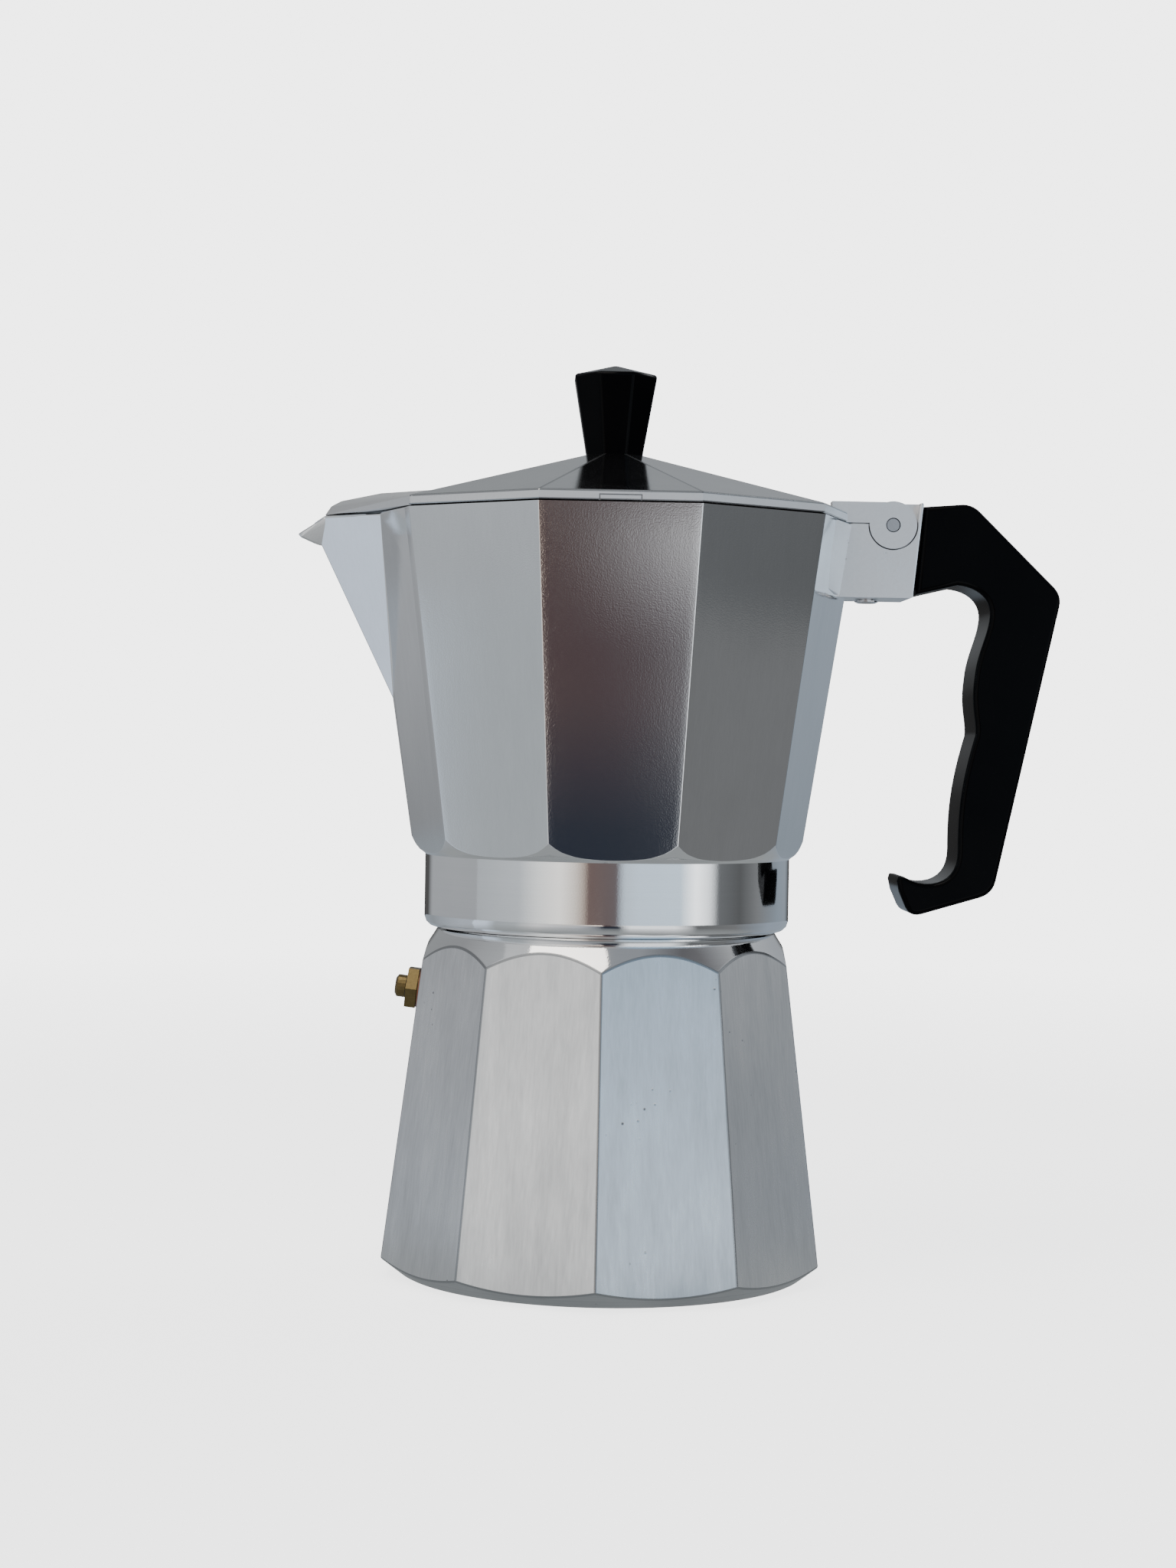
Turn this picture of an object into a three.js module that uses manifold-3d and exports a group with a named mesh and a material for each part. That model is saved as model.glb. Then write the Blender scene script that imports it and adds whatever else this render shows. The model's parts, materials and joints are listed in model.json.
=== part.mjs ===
// Stovetop moka pot: a ten-sided boiler with a safety valve, a funnel, gasket and filter plate, and a
// ten-sided collecting chamber with a pouring spout, a hinged lid with its knob, and a moulded handle.
// Millimetres, +Z up. The origin is on the pot's axis at the underside of the boiler. +X points to the
// handle and -X to the spout. The chamber is drawn screwed down on the boiler.
import * as THREE from "three";
import { mergeVertices } from "three/addons/utils/BufferGeometryUtils.js";
import { ConvexGeometry } from "three/addons/geometries/ConvexGeometry.js";
import Module from "manifold-3d";

const wasm = await Module();
wasm.setup();

// ---- driving dimensions ------------------------------------------------------------------------
const sides = 10; // flat facets round both bodies
const gap = 0.3; // clearance between pieces that seat on each other
const round = 48; // segments round a turned surface

// boiler
const footRadius = 50.4; // corner radius at the underside, before the turned bevel
const boilerHeight = 75.2; // underside to the seat of the neck
const boilerTurn = -2.7; // degrees that its facets stand off the chamber's when screwed down
const boilerWall = 2.6;
const boilerFloor = 3;
const footBevel = { width: 5.7, height: 4.3 };
const shoulderDrop = 8; // height of the turned shoulder below the neck
const neckRadius = 34; // root radius of the thread
const neckHeight = 12.8;
const neckWall = 3.7;

// screw thread between neck and collar
const threadPitch = 4;
const threadTurns = 2.25;
const threadRidge = 1.1; // radius of the rounded ridge
const threadPlay = 1.6; // root of the neck to bore of the collar
const threadStart = 2.6; // first ridge above the neck's seat

// safety valve
const valveHeight = 61.3;
const valveFlange = { acrossFlats: 8.6, thickness: 2.4 };
const valveShank = 3.6; // radius of the threaded shank
const valveDepth = 8.6; // how far the shank reaches in from the flange
const valveWall = 1.1; // metal between the shank's bore and its outside
const valveNut = { acrossFlats: 10, thickness: 2.4 };
const valveWasher = { rim: 1.3, thickness: 0.5 };
const stemRadius = 0.8;
const stemNub = { radius: 2.5, length: 2.3 };
const springWire = 0.3; // radius
const springTurns = 3.5;
const valveTravel = 1.2;

// funnel, gasket and filter plate
const funnelFlange = { overlap: 3.4, thickness: 1 };
const funnelWall = 0.9;
const basketDepth = 20;
const funnelConeHeight = 11;
const funnelStem = 5; // outer radius
const funnelStemFloor = 8; // height of its open end over the underside
const sieveThickness = 0.8;
const gasketSize = { width: 6.6, thickness: 2.8 };
const gasketPlay = 0.4; // gasket to its pocket, all round
const plateThickness = 0.8;
const plateOverlap = 1.7; // how far the gasket's lip holds the plate
const holeRadius = 1.1;
const holeSpacing = 6.5;

// collecting chamber
const collarWall = 4.7;
const footStep = 3; // chamber's corner radius at its foot beyond the collar
const rimRadius = 54.15; // corner radius at the rim
const chamberDepth = 72.8; // gasket seat to rim
const chamberWall = 2.4;
const chamberFloor = 3.9; // gasket seat to the floor inside
const pocketStep = 2.1; // gasket's pocket in from the collar's bore
const columnTopDrop = 15.5; // top of the column below the rim
const columnRadius = { foot: 8.3, top: 6.2, boreFoot: 5.2, boreTop: 3.9 };
const columnWindow = { width: 4, height: 5 };

// spout
const spoutReach = 15.45; // tip beyond the rim's corner
const spoutCover = 9.4; // how far of that the lid covers
const spoutHalf = 14; // half width at the rim
const spoutDrop = 40.6; // rim to the foot of the keel
const spoutWall = 2.2;
const spoutFlare = 1.2; // how far its flanks stand off the facets at the rim
const flankDrop = 14; // rim to the foot of the flanks, at the next corner

// lid
const lidBand = 2.1; // height of its upright rim
const lidTopRadius = 7.2;
const lidRise = 12.09; // pyramid over the band
const lidWall = 1.7;
const lidCrown = 2.6; // metal under the pyramid's flat top
const lidSeat = { radius: 6.0, height: 0.16 };
const lidTab = { width: 8.8, height: 1.3, depth: 0.5 };

// hinge and handle bracket
const pinReach = 6.95; // hinge axis beyond the rim's corner
const pinRadius = 1.4;
const pinPlay = 0.2;
const knuckleRadius = 5.2;
const earThickness = 4;
const earHeight = 5;
const bracketHalf = 9; // half width
const bracketHeight = 16;
const bracketLength = 13.2; // beyond the rim's corner
const bracketLean = 1.6; // how far the outer end slopes in towards its foot
const bracketWall = 2.4;
const flareOut = 0.9;

// handle
const handleHalf = 8.6; // half thickness
const handleBevel = 1.5;
const tenon = { height: 5.8, half: 6 };
const handleScrew = { radius: 1.6, head: 2.6, headHeight: 0.6 };
const insertWall = 1.3;

// knob
const knobSides = 8;
const knobRadius = { foot: 6.6, top: 9.9 };
const knobHeight = 17.2;
const knobCap = 2.4;
const knobScrew = { radius: 1.9, head: 4.2, headHeight: 2.2, length: 13 };

// ---- heights and radii that follow from them ---------------------------------------------------
const neckTop = boilerHeight + neckHeight;
const flangeZ = neckTop + gap;
const gasketZ = flangeZ + funnelFlange.thickness + gap;
const seatZ = gasketZ + gasketSize.thickness + gap;
const collarBore = neckRadius + threadPlay;
const collarRadius = collarBore + collarWall;
const pocketRadius = collarBore - pocketStep;
const collarBottom = boilerHeight + 0.4;
const chamberFootZ = seatZ + 1.5;
const chamberFootRadius = collarRadius + footStep;
const rimZ = seatZ + chamberDepth;
const floorZ = seatZ + chamberFloor;
const lidZ = rimZ + gap;
const lidTopZ = lidZ + lidBand + lidRise;
const knobZ = lidTopZ + lidSeat.height + gap;
const pinX = rimRadius + pinReach;
const pinZ = rimZ - 0.1;
const corner = Math.cos(Math.PI / sides); // facet distance over corner radius
const shoulderRadius = collarRadius + 0.5; // boiler's corner radius at its neck seat
const boilerTaper = (footRadius - shoulderRadius) / boilerHeight;
const boilerCorner = (z) => footRadius - boilerTaper * z;
const chamberTaper = (rimRadius - chamberFootRadius) / (rimZ - chamberFootZ);
const chamberCorner = (z) => rimRadius - chamberTaper * (rimZ - z);
const basketRadius = neckRadius - neckWall - 1.7;
const plateRadius = pocketRadius - gasketSize.width + plateOverlap;
const bracketFoot = rimZ - bracketHeight;

// ---- solids ------------------------------------------------------------------------------------
function solid(geometry) {
  const bare = geometry.index ? geometry.toNonIndexed() : geometry.clone();
  bare.deleteAttribute("normal");
  bare.deleteAttribute("uv");
  const merged = mergeVertices(bare, 1e-4);
  return new wasm.Manifold(
    new wasm.Mesh({
      numProp: 3,
      vertProperties: merged.attributes.position.array,
      triVerts: new Uint32Array(merged.index.array),
    }),
  );
}

function geometryOf(made) {
  const mesh = made.getMesh();
  const geometry = new THREE.BufferGeometry();
  geometry.setAttribute("position", new THREE.BufferAttribute(mesh.vertProperties, 3));
  geometry.setIndex(new THREE.BufferAttribute(mesh.triVerts, 1));
  return geometry;
}

const union = (...geometries) =>
  geometries.map(solid).reduce((whole, piece) => whole.add(piece));
const cutAll = (whole, tools) => tools.reduce((left, tool) => left.subtract(solid(tool)), whole);

// Turned shape on the Z axis. The profile runs up the outside as [radius, z] pairs. With few segments
// it is a faceted shape whose first corner stands at -Y before its turn.
function turned(profile, segments = round, turn = 0) {
  const points = profile.map(([r, z]) => new THREE.Vector2(r, z));
  return new THREE.LatheGeometry(points, segments)
    .rotateX(Math.PI / 2)
    .rotateZ(THREE.MathUtils.degToRad(turn));
}

// Closed turned ring with a rectangular section.
const ring = (inner, outer, z0, z1, segments = round) =>
  turned([[inner, z0], [outer, z0], [outer, z1], [inner, z1], [inner, z0]], segments);

// Round bar, cone or regular prism on the Z axis, from z0 to z1.
function bar(r0, r1, z0, z1, segments = round, turn = 0) {
  return new THREE.CylinderGeometry(r1, r0, z1 - z0, segments)
    .rotateX(Math.PI / 2)
    .rotateZ(THREE.MathUtils.degToRad(turn))
    .translate(0, 0, (z0 + z1) / 2);
}

// Round bar across the pot, along Y.
const crossBar = (radius, y0, y1, x, z, segments = 32) =>
  new THREE.CylinderGeometry(radius, radius, y1 - y0, segments).translate(x, (y0 + y1) / 2, z);

const block = (x0, x1, y0, y1, z0, z1) =>
  new THREE.BoxGeometry(x1 - x0, y1 - y0, z1 - z0).translate(
    (x0 + x1) / 2,
    (y0 + y1) / 2,
    (z0 + z1) / 2,
  );

const hull = (points) => new ConvexGeometry(points.map((p) => new THREE.Vector3(...p)));

// Both halves of a pair of points mirrored in the XZ plane.
const pair = (x, y, z) => [[x, y, z], [x, -y, z]];

// Side outline in X and Z given a thickness along Y, centred on the XZ plane.
function sidePlate(shape, half, options = {}) {
  const { bevel = 0, curveSegments = 8 } = options;
  return new THREE.ExtrudeGeometry(shape, {
    depth: 2 * (half - bevel),
    curveSegments,
    bevelEnabled: bevel > 0,
    bevelThickness: bevel,
    bevelSize: bevel,
    bevelOffset: -bevel,
    bevelSegments: 1,
  })
    .translate(0, 0, -(half - bevel))
    .rotateX(Math.PI / 2);
}

function polygon(points) {
  return new THREE.Shape(points.map(([x, z]) => new THREE.Vector2(x, z)));
}

// Rounded ridge that climbs threadPitch a turn round the Z axis, with closed ends.
function threadRidgeGeometry(radius, z0) {
  class Climb extends THREE.Curve {
    getPoint(t, target = new THREE.Vector3()) {
      const angle = t * threadTurns * 2 * Math.PI;
      return target.set(
        radius * Math.cos(angle),
        radius * Math.sin(angle),
        z0 + t * threadTurns * threadPitch,
      );
    }
  }
  const section = new THREE.Shape().absarc(0, 0, threadRidge, 0, 2 * Math.PI);
  return new THREE.ExtrudeGeometry(section, {
    steps: Math.round(threadTurns * 32),
    curveSegments: 3,
    extrudePath: new Climb(),
  });
}

// Rings of holes through a disc, as bars along Z.
function holeGrid(rings, z0, z1) {
  const tools = [bar(holeRadius, holeRadius, z0, z1, 6)];
  for (let k = 1; k <= rings; k += 1) {
    for (let i = 0; i < 6 * k; i += 1) {
      const angle = (i / (6 * k)) * 2 * Math.PI;
      tools.push(
        bar(holeRadius, holeRadius, z0, z1, 6).translate(
          k * holeSpacing * Math.cos(angle),
          k * holeSpacing * Math.sin(angle),
          0,
        ),
      );
    }
  }
  return tools;
}

// ---- boiler ------------------------------------------------------------------------------------
const facetAt = (z) => boilerCorner(z) * corner;
const valveTilt = Math.atan(boilerTaper * corner);
const valvePose = new THREE.Matrix4()
  .makeTranslation(-facetAt(valveHeight), 0, valveHeight)
  .multiply(new THREE.Matrix4().makeRotationY(-(Math.PI / 2 - valveTilt)));

function shoulderProfile() {
  const seat = collarRadius - 2.9;
  const low = boilerHeight - shoulderDrop;
  return [
    [boilerCorner(low) + 0.9, low],
    [boilerCorner(low) - 0.2, low + 0.21 * shoulderDrop],
    [boilerCorner(low) - 2.4, low + 0.58 * shoulderDrop],
    [boilerCorner(low) - 3.4, low + 0.79 * shoulderDrop],
    [seat, boilerHeight],
  ];
}

function boilerGeometry() {
  const body = solid(bar(boilerCorner(0), boilerCorner(boilerHeight), 0, boilerHeight, sides));
  const envelope = solid(
    turned([
      [0, 0],
      [footRadius - footBevel.width, 0],
      [footRadius + 0.3, footBevel.height + 0.3],
      ...shoulderProfile(),
      [0, boilerHeight],
    ]),
  );
  const neck = solid(bar(neckRadius, neckRadius, boilerHeight - 1, neckTop));
  const ridge = solid(threadRidgeGeometry(neckRadius - 0.1, boilerHeight + threadStart));
  const seat = boilerHeight - shoulderDrop;
  const innerFoot = facetAt(boilerFloor) - boilerWall;
  const innerTop = facetAt(seat) - boilerWall;
  const neckBore = neckRadius - neckWall;
  const hollow = turned([
    [0, boilerFloor],
    [innerFoot - 4, boilerFloor],
    [innerFoot - 0.3, boilerFloor + 4],
    [innerTop, seat],
    [innerTop - 3.6, seat + 0.7 * shoulderDrop],
    [neckBore, boilerHeight + 0.6],
    [neckBore, neckTop + 1],
    [0, neckTop + 1],
  ]);
  const valveHole = bar(valveShank + gap, valveShank + gap, -valveDepth, 4, 24).applyMatrix4(valvePose);
  const whole = body.intersect(envelope).add(neck).add(ridge);
  return geometryOf(cutAll(whole, [hollow, valveHole]));
}

// ---- safety valve, on its own axis: 0 at the facet, outwards positive --------------------------
const flangeFoot = gap + valveWasher.thickness + gap;
const flangeTop = flangeFoot + valveFlange.thickness;
const shankEnd = flangeFoot - valveDepth;
const shankBore = valveShank - valveWall;
const boreTop = flangeTop - 1.5;
const seatRing = 1.5;
const poppetFoot = shankEnd + seatRing + gap;
const poppetTop = poppetFoot + 1;
const hexCorner = (acrossFlats) => acrossFlats / Math.sqrt(3);

function valveBodyGeometry() {
  const flange = hexCorner(valveFlange.acrossFlats);
  const whole = union(
    bar(flange, flange, flangeFoot, flangeTop, 6),
    bar(valveShank, valveShank, shankEnd, flangeFoot + 0.5, 24),
  );
  return geometryOf(
    cutAll(whole, [
      bar(shankBore, shankBore, shankEnd - 1, boreTop, 24),
      bar(stemRadius + gap, stemRadius + gap, boreTop - 1, flangeTop + 1, 16),
    ]),
  );
}

const valveWasherGeometry = () =>
  ring(valveShank + gap, valveShank + valveWasher.rim, gap, gap + valveWasher.thickness, 24);

const valveSeatGeometry = () =>
  ring(stemRadius + 0.4, shankBore - gap, shankEnd, shankEnd + seatRing, 24);

function valveNutGeometry() {
  const radius = hexCorner(valveNut.acrossFlats);
  const top = -(boilerWall + 1.5);
  const whole = solid(bar(radius, radius, top - valveNut.thickness, top, 6));
  const bore = bar(valveShank + gap, valveShank + gap, top - valveNut.thickness - 1, top + 1, 24);
  return geometryOf(cutAll(whole, [bore]));
}

function valveStemGeometry() {
  const poppet = shankBore - 0.5;
  const nubFoot = flangeTop + gap;
  return turned(
    [
      [0, poppetFoot],
      [poppet - 0.4, poppetFoot],
      [poppet, poppetFoot + 0.5],
      [poppet, poppetTop],
      [stemRadius, poppetTop],
      [stemRadius, nubFoot],
      [stemNub.radius, nubFoot],
      [stemNub.radius, nubFoot + stemNub.length - 0.5],
      [stemNub.radius - 0.7, nubFoot + stemNub.length],
      [0, nubFoot + stemNub.length],
    ],
    20,
  );
}

function valveSpringGeometry() {
  const radius = (stemRadius + shankBore) / 2 - 0.05;
  const foot = poppetTop + gap + springWire;
  const top = boreTop - valveTravel - gap - springWire;
  class Coil extends THREE.Curve {
    getPoint(t, target = new THREE.Vector3()) {
      const angle = t * springTurns * 2 * Math.PI;
      return target.set(radius * Math.cos(angle), radius * Math.sin(angle), foot + t * (top - foot));
    }
  }
  const section = new THREE.Shape().absarc(0, 0, springWire, 0, 2 * Math.PI);
  return new THREE.ExtrudeGeometry(section, {
    steps: Math.round(springTurns * 12),
    curveSegments: 2,
    extrudePath: new Coil(),
  });
}

// ---- funnel, gasket and filter plate -----------------------------------------------------------
const basketFloor = neckTop - basketDepth;
const sieveZ = basketFloor + 1;

function funnelGeometry() {
  const flange = flangeZ + funnelFlange.thickness;
  const flangeRim = neckRadius - neckWall + funnelFlange.overlap - 0.7;
  const coneFoot = basketFloor - funnelConeHeight;
  const inner = basketRadius - funnelWall;
  return turned([
    [inner, flange],
    [inner, basketFloor],
    [funnelStem - funnelWall, coneFoot],
    [funnelStem - funnelWall, funnelStemFloor],
    [funnelStem, funnelStemFloor],
    [funnelStem, coneFoot - 0.6],
    [basketRadius, basketFloor - 0.4],
    [basketRadius, flangeZ],
    [flangeRim, flangeZ],
    [flangeRim, flange],
    [inner, flange],
  ], 48);
}

function sieveGeometry() {
  const radius = basketRadius - funnelWall - gap;
  const rings = Math.floor((radius - 3) / holeSpacing);
  const disc = solid(bar(radius, radius, sieveZ, sieveZ + sieveThickness, 48));
  return geometryOf(cutAll(disc, holeGrid(rings, sieveZ - 1, sieveZ + sieveThickness + 1)));
}

function gasketGeometry() {
  const outer = pocketRadius - gasketPlay;
  const inner = outer - gasketSize.width;
  const top = gasketZ + gasketSize.thickness;
  return turned([
    [inner, gasketZ + 0.5],
    [inner + 0.5, gasketZ],
    [outer - 0.3, gasketZ],
    [outer, gasketZ + 0.3],
    [outer, top - 0.3],
    [outer - 0.3, top],
    [inner + 0.5, top],
    [inner, top - 0.5],
    [inner, gasketZ + 0.5],
  ]);
}

function plateGeometry() {
  const top = seatZ + plateThickness;
  const disc = solid(
    turned([
      [0, seatZ],
      [plateRadius, seatZ],
      [plateRadius, top],
      [plateRadius - 2, top],
      [plateRadius - 3, top + 0.5],
      [0, top + 0.5],
    ], 48),
  );
  const dish = bar(plateRadius - 3.4, plateRadius - 3.4, seatZ - 1, seatZ + 0.5);
  const rings = Math.floor((plateRadius - 5) / holeSpacing);
  return geometryOf(cutAll(disc, [dish, ...holeGrid(rings, seatZ - 1, top + 2)]));
}

// ---- collecting chamber ------------------------------------------------------------------------
const columnTop = rimZ - columnTopDrop;
const rimFacet = (y, z) => chamberCorner(z) - y * Math.tan(Math.PI / sides);
const spoutTip = rimRadius + spoutReach;
const spoutRoot = rimFacet(spoutHalf, rimZ) + spoutFlare;
const keelFoot = rimZ - spoutDrop;
const keelLean = (spoutTip - 1.85 - chamberCorner(keelFoot)) / spoutDrop;
const keelX = (z) => chamberCorner(keelFoot) + keelLean * (z - keelFoot);
const coverX = rimRadius + spoutCover;
const sideCorner = (z) => [
  chamberCorner(z) * Math.cos((2 * Math.PI) / sides),
  chamberCorner(z) * Math.sin((2 * Math.PI) / sides),
];

// Side panels of the spout, drawn inwards by an inset and upwards past the rim.
function spoutWedge(inset, over) {
  const z = rimZ + over;
  const creaseX = -(spoutRoot - inset * 1.2);
  return hull([
    [-(chamberCorner(keelFoot) - inset * 1.4), 0, keelFoot + inset],
    [-(keelX(rimZ) - inset * 1.7), 0, rimZ],
    [-(keelX(rimZ) - inset * 1.7), 0, z],
    ...pair(creaseX, spoutHalf - inset, rimZ),
    ...pair(creaseX, spoutHalf - inset, z),
    ...pair(creaseX + 3, spoutHalf - inset, rimZ),
    ...pair(creaseX + 3, spoutHalf - inset, z),
  ]);
}

// Raised flank between a side panel and the next corner of the chamber.
function spoutFlank(side) {
  const [topX, topY] = sideCorner(rimZ);
  const [lowX, lowY] = sideCorner(rimZ - flankDrop);
  return hull([
    [-(chamberCorner(keelFoot) - 0.2), 0, keelFoot + 0.4],
    [-spoutRoot, side * spoutHalf, rimZ],
    [-(spoutRoot - 3), side * spoutHalf, rimZ],
    [-(topX - 0.2), side * (topY - 0.2), rimZ],
    [-(topX - 2), side * (topY - 2), rimZ],
    [-(lowX - 0.2), side * (lowY - 0.2), rimZ - flankDrop],
  ]);
}

function beakGeometry() {
  return hull([
    [-(spoutTip - 5.6), 0, rimZ - 6.8],
    ...pair(-(spoutTip - 0.6), 0.9, rimZ - 4.6),
    ...pair(-spoutTip, 0.8, rimZ - 3.9),
    ...pair(-(coverX + 0.2), 3.4, rimZ - 0.4),
    ...pair(-(coverX - 3), 3.8, rimZ - 0.4),
  ]);
}

// What is cut away over the beak, so that its rim slopes from the lid's edge to the tip.
function beakSlope() {
  return sidePlate(
    polygon([
      [-(coverX - 0.1), rimZ],
      [-(coverX - 0.1), rimZ + 12],
      [-(spoutTip + 8), rimZ + 12],
      [-(spoutTip + 8), rimZ - 3.5],
      [-spoutTip, rimZ - 3.5],
    ]),
    12,
  );
}

function beakChannel() {
  return hull([
    [-(spoutTip - 9), 0, rimZ - 6.4],
    [-(spoutTip + 1), 0, rimZ - 3.3],
    ...pair(-(spoutTip - 9), 2.6, rimZ + 3),
    ...pair(-(spoutTip + 1), 0.7, rimZ + 3),
  ]);
}

const bracketEnd = (z) => rimRadius + bracketLength - (bracketLean * (rimZ - z)) / bracketHeight;

function bracketGeometries() {
  const wallTop = pinZ + earHeight;
  const inside = rimRadius - 7;
  const [flareX, flareY] = sideCorner(rimZ);
  const [lowX, lowY] = sideCorner(bracketFoot);
  const slab = sidePlate(
    polygon([
      [inside, bracketFoot],
      [bracketEnd(bracketFoot), bracketFoot],
      [bracketEnd(wallTop), wallTop],
      [bracketEnd(wallTop) - 0.9, wallTop],
      [bracketEnd(rimZ) - 0.9, rimZ],
      [inside, rimZ],
    ]),
    bracketHalf,
  );
  const tongue = bracketHalf - earThickness - 0.1 - gap;
  const knuckle = crossBar(knuckleRadius, -tongue, tongue, pinX, pinZ);
  const heel = sidePlate(
    polygon([
      [pinX, rimZ - 4],
      [bracketEnd(rimZ - 4) - 0.1, rimZ - 4],
      [bracketEnd(wallTop) - 0.1, wallTop],
      [pinX, wallTop],
    ]),
    tongue,
  );
  const flares = [1, -1].map((s) =>
    hull([
      [flareX - 0.4, s * (flareY - 0.6), rimZ - 0.05],
      [lowX - 0.4, s * (lowY - 0.6), bracketFoot + 2.2],
      [rimFacet(bracketHalf, rimZ) + flareOut, s * (bracketHalf - 0.5), rimZ - 0.05],
      [rimFacet(bracketHalf, bracketFoot) + flareOut, s * (bracketHalf - 0.5), bracketFoot + 0.2],
      [flareX - 2, s * (flareY - 2), rimZ - 0.05],
      [lowX - 1.6, s * (lowY - 2), bracketFoot + 2.2],
      [rimFacet(bracketHalf, rimZ) - 1.2, s * (bracketHalf - 1), rimZ - 0.05],
      [rimFacet(bracketHalf, bracketFoot) - 1.2, s * (bracketHalf - 1), bracketFoot + 0.2],
    ]),
  );
  return [slab, knuckle, heel, ...flares];
}

const socketX = chamberCorner(bracketFoot) + 0.4;
const socketZ = bracketFoot + bracketWall;
const screwX = socketX + 4.4;
const earInner = bracketHalf - earThickness;

// Seats for the lid's ears, the pin, the handle's tenon and its screw.
function bracketCuts() {
  const recess = knuckleRadius + gap;
  const hole = pinRadius + pinPlay;
  const outside = bracketHalf + 5;
  const screwHole = handleScrew.radius + gap;
  return [
    crossBar(recess, earInner - gap, outside, pinX, pinZ, 48),
    crossBar(recess, -outside, gap - earInner, pinX, pinZ, 48),
    crossBar(hole, -outside, outside, pinX, pinZ, 24),
    block(socketX, pinX + 20, -tenon.half - gap, tenon.half + gap, socketZ, socketZ + tenon.height + 2 * gap),
    bar(screwHole, screwHole, bracketFoot - 1, socketZ + 1, 20).translate(screwX, 0, 0),
  ];
}

// Collar and turned foot of the chamber, outside.
function collarProfile() {
  const lip = collarRadius - 0.6;
  return [
    [0, collarBottom],
    [lip - 2, collarBottom],
    [lip - 0.6, collarBottom + 0.5],
    [lip + 0.1, collarBottom + 1.4],
    [lip + 0.35, collarBottom + 3.2],
    [collarRadius, seatZ - 0.9],
    [collarRadius - 1, seatZ + 1],
    [0, seatZ + 1],
  ];
}

function footProfile() {
  return [
    [0, seatZ - 0.8],
    [collarRadius + 0.3, seatZ - 0.8],
    [collarRadius + 1.3, seatZ - 0.1],
    [collarRadius + 2.3, seatZ + 1.1],
    [collarRadius + 3.2, seatZ + 2.8],
    [rimRadius + 20, seatZ + 14],
    [rimRadius + 20, rimZ + 1],
    [0, rimZ + 1],
  ];
}

const plateSeatTop = seatZ + plateThickness + 0.5 + gap;
const coneRadius = plateRadius - 3;
const columnFootZ = floorZ + 4.6;
const windowTop = columnTop - 2.6;

function columnProfile() {
  return [
    [0, floorZ - 1],
    [coneRadius + 1.4, floorZ - 1],
    [coneRadius + 1.4, floorZ - 0.05],
    [columnRadius.foot + 1.2, columnFootZ],
    [columnRadius.foot, columnFootZ + 2.5],
    [columnRadius.top, columnTop - 1.4],
    [columnRadius.top - 1.3, columnTop],
    [0, columnTop],
  ];
}

// Under the floor: bore over the neck, gasket seat, plate seat, cone and the column's bore.
function underCuts() {
  const bore = [
    [0, collarBottom - 1],
    [collarBore, collarBottom - 1],
    [collarBore, gasketZ - 0.2],
    [pocketRadius, gasketZ - 0.2],
    [pocketRadius, seatZ],
    [plateRadius + gap, seatZ],
    [plateRadius + gap, seatZ + plateThickness + gap],
    [coneRadius + 0.6, plateSeatTop],
    [columnRadius.boreFoot, columnFootZ - 1.4],
    [columnRadius.boreTop, windowTop - 0.4],
    [0, windowTop - 0.4],
  ];
  const half = columnWindow.width / 2;
  return [turned(bore), block(-12, 12, -half, half, windowTop - columnWindow.height, windowTop)];
}

function chamberGeometry() {
  const foot = seatZ - 2.5;
  const turn = 180 / sides;
  const shell = solid(bar(chamberCorner(foot), rimRadius, foot, rimZ, sides, turn));
  let whole = shell
    .intersect(solid(turned(footProfile())))
    .add(solid(turned(collarProfile())))
    .add(union(spoutWedge(0, 0), spoutFlank(1), spoutFlank(-1), beakGeometry()))
    .subtract(solid(beakSlope()))
    .add(union(...bracketGeometries()));
  const inset = chamberWall / corner;
  const over = rimZ + 4;
  const inner = bar(chamberCorner(floorZ) - inset, chamberCorner(over) - inset, floorZ, over, sides, turn);
  whole = cutAll(whole, [inner, spoutWedge(spoutWall, 4), beakChannel()]);
  whole = cutAll(whole.add(solid(turned(columnProfile(), 32))), [...underCuts(), ...bracketCuts()]);
  const ridge = threadRidgeGeometry(collarBore + 0.1, boilerHeight + threadStart + threadPitch / 2);
  return geometryOf(whole.add(solid(ridge)));
}

// ---- lid ---------------------------------------------------------------------------------------
const lidRadius = rimRadius - 0.25;

function lidCover(inset, drop) {
  const [cornerX, cornerY] = sideCorner(rimZ);
  const z = lidZ - drop;
  return hull([
    ...pair(-(coverX - inset), 1.6 - inset * 0.3, z),
    ...pair(-(coverX - 1.3 - inset), 1.4 - inset * 0.3, lidZ + 2 - inset),
    ...pair(-(coverX - 3.4 - inset), 0.8, lidZ + 3.2 - inset),
    [-(coverX - 8.6 - inset), 0, lidZ + 4.4 - inset],
    [-(coverX - 12.2 - inset), 0, lidZ + 5.2 - inset],
    [-(coverX - 24), 0, lidZ + 6.2 - inset],
    ...pair(-(spoutRoot + 0.3 - inset), spoutHalf - inset, z),
    ...pair(-(spoutRoot - inset), spoutHalf - inset, lidZ + lidBand - inset),
    ...pair(-(cornerX - 0.4 - inset), cornerY - 0.4 - inset, z),
    ...pair(-(cornerX - 0.4 - inset), cornerY - 0.4 - inset, lidZ + lidBand - inset),
    ...pair(-20, 15, z),
  ]);
}

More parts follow.
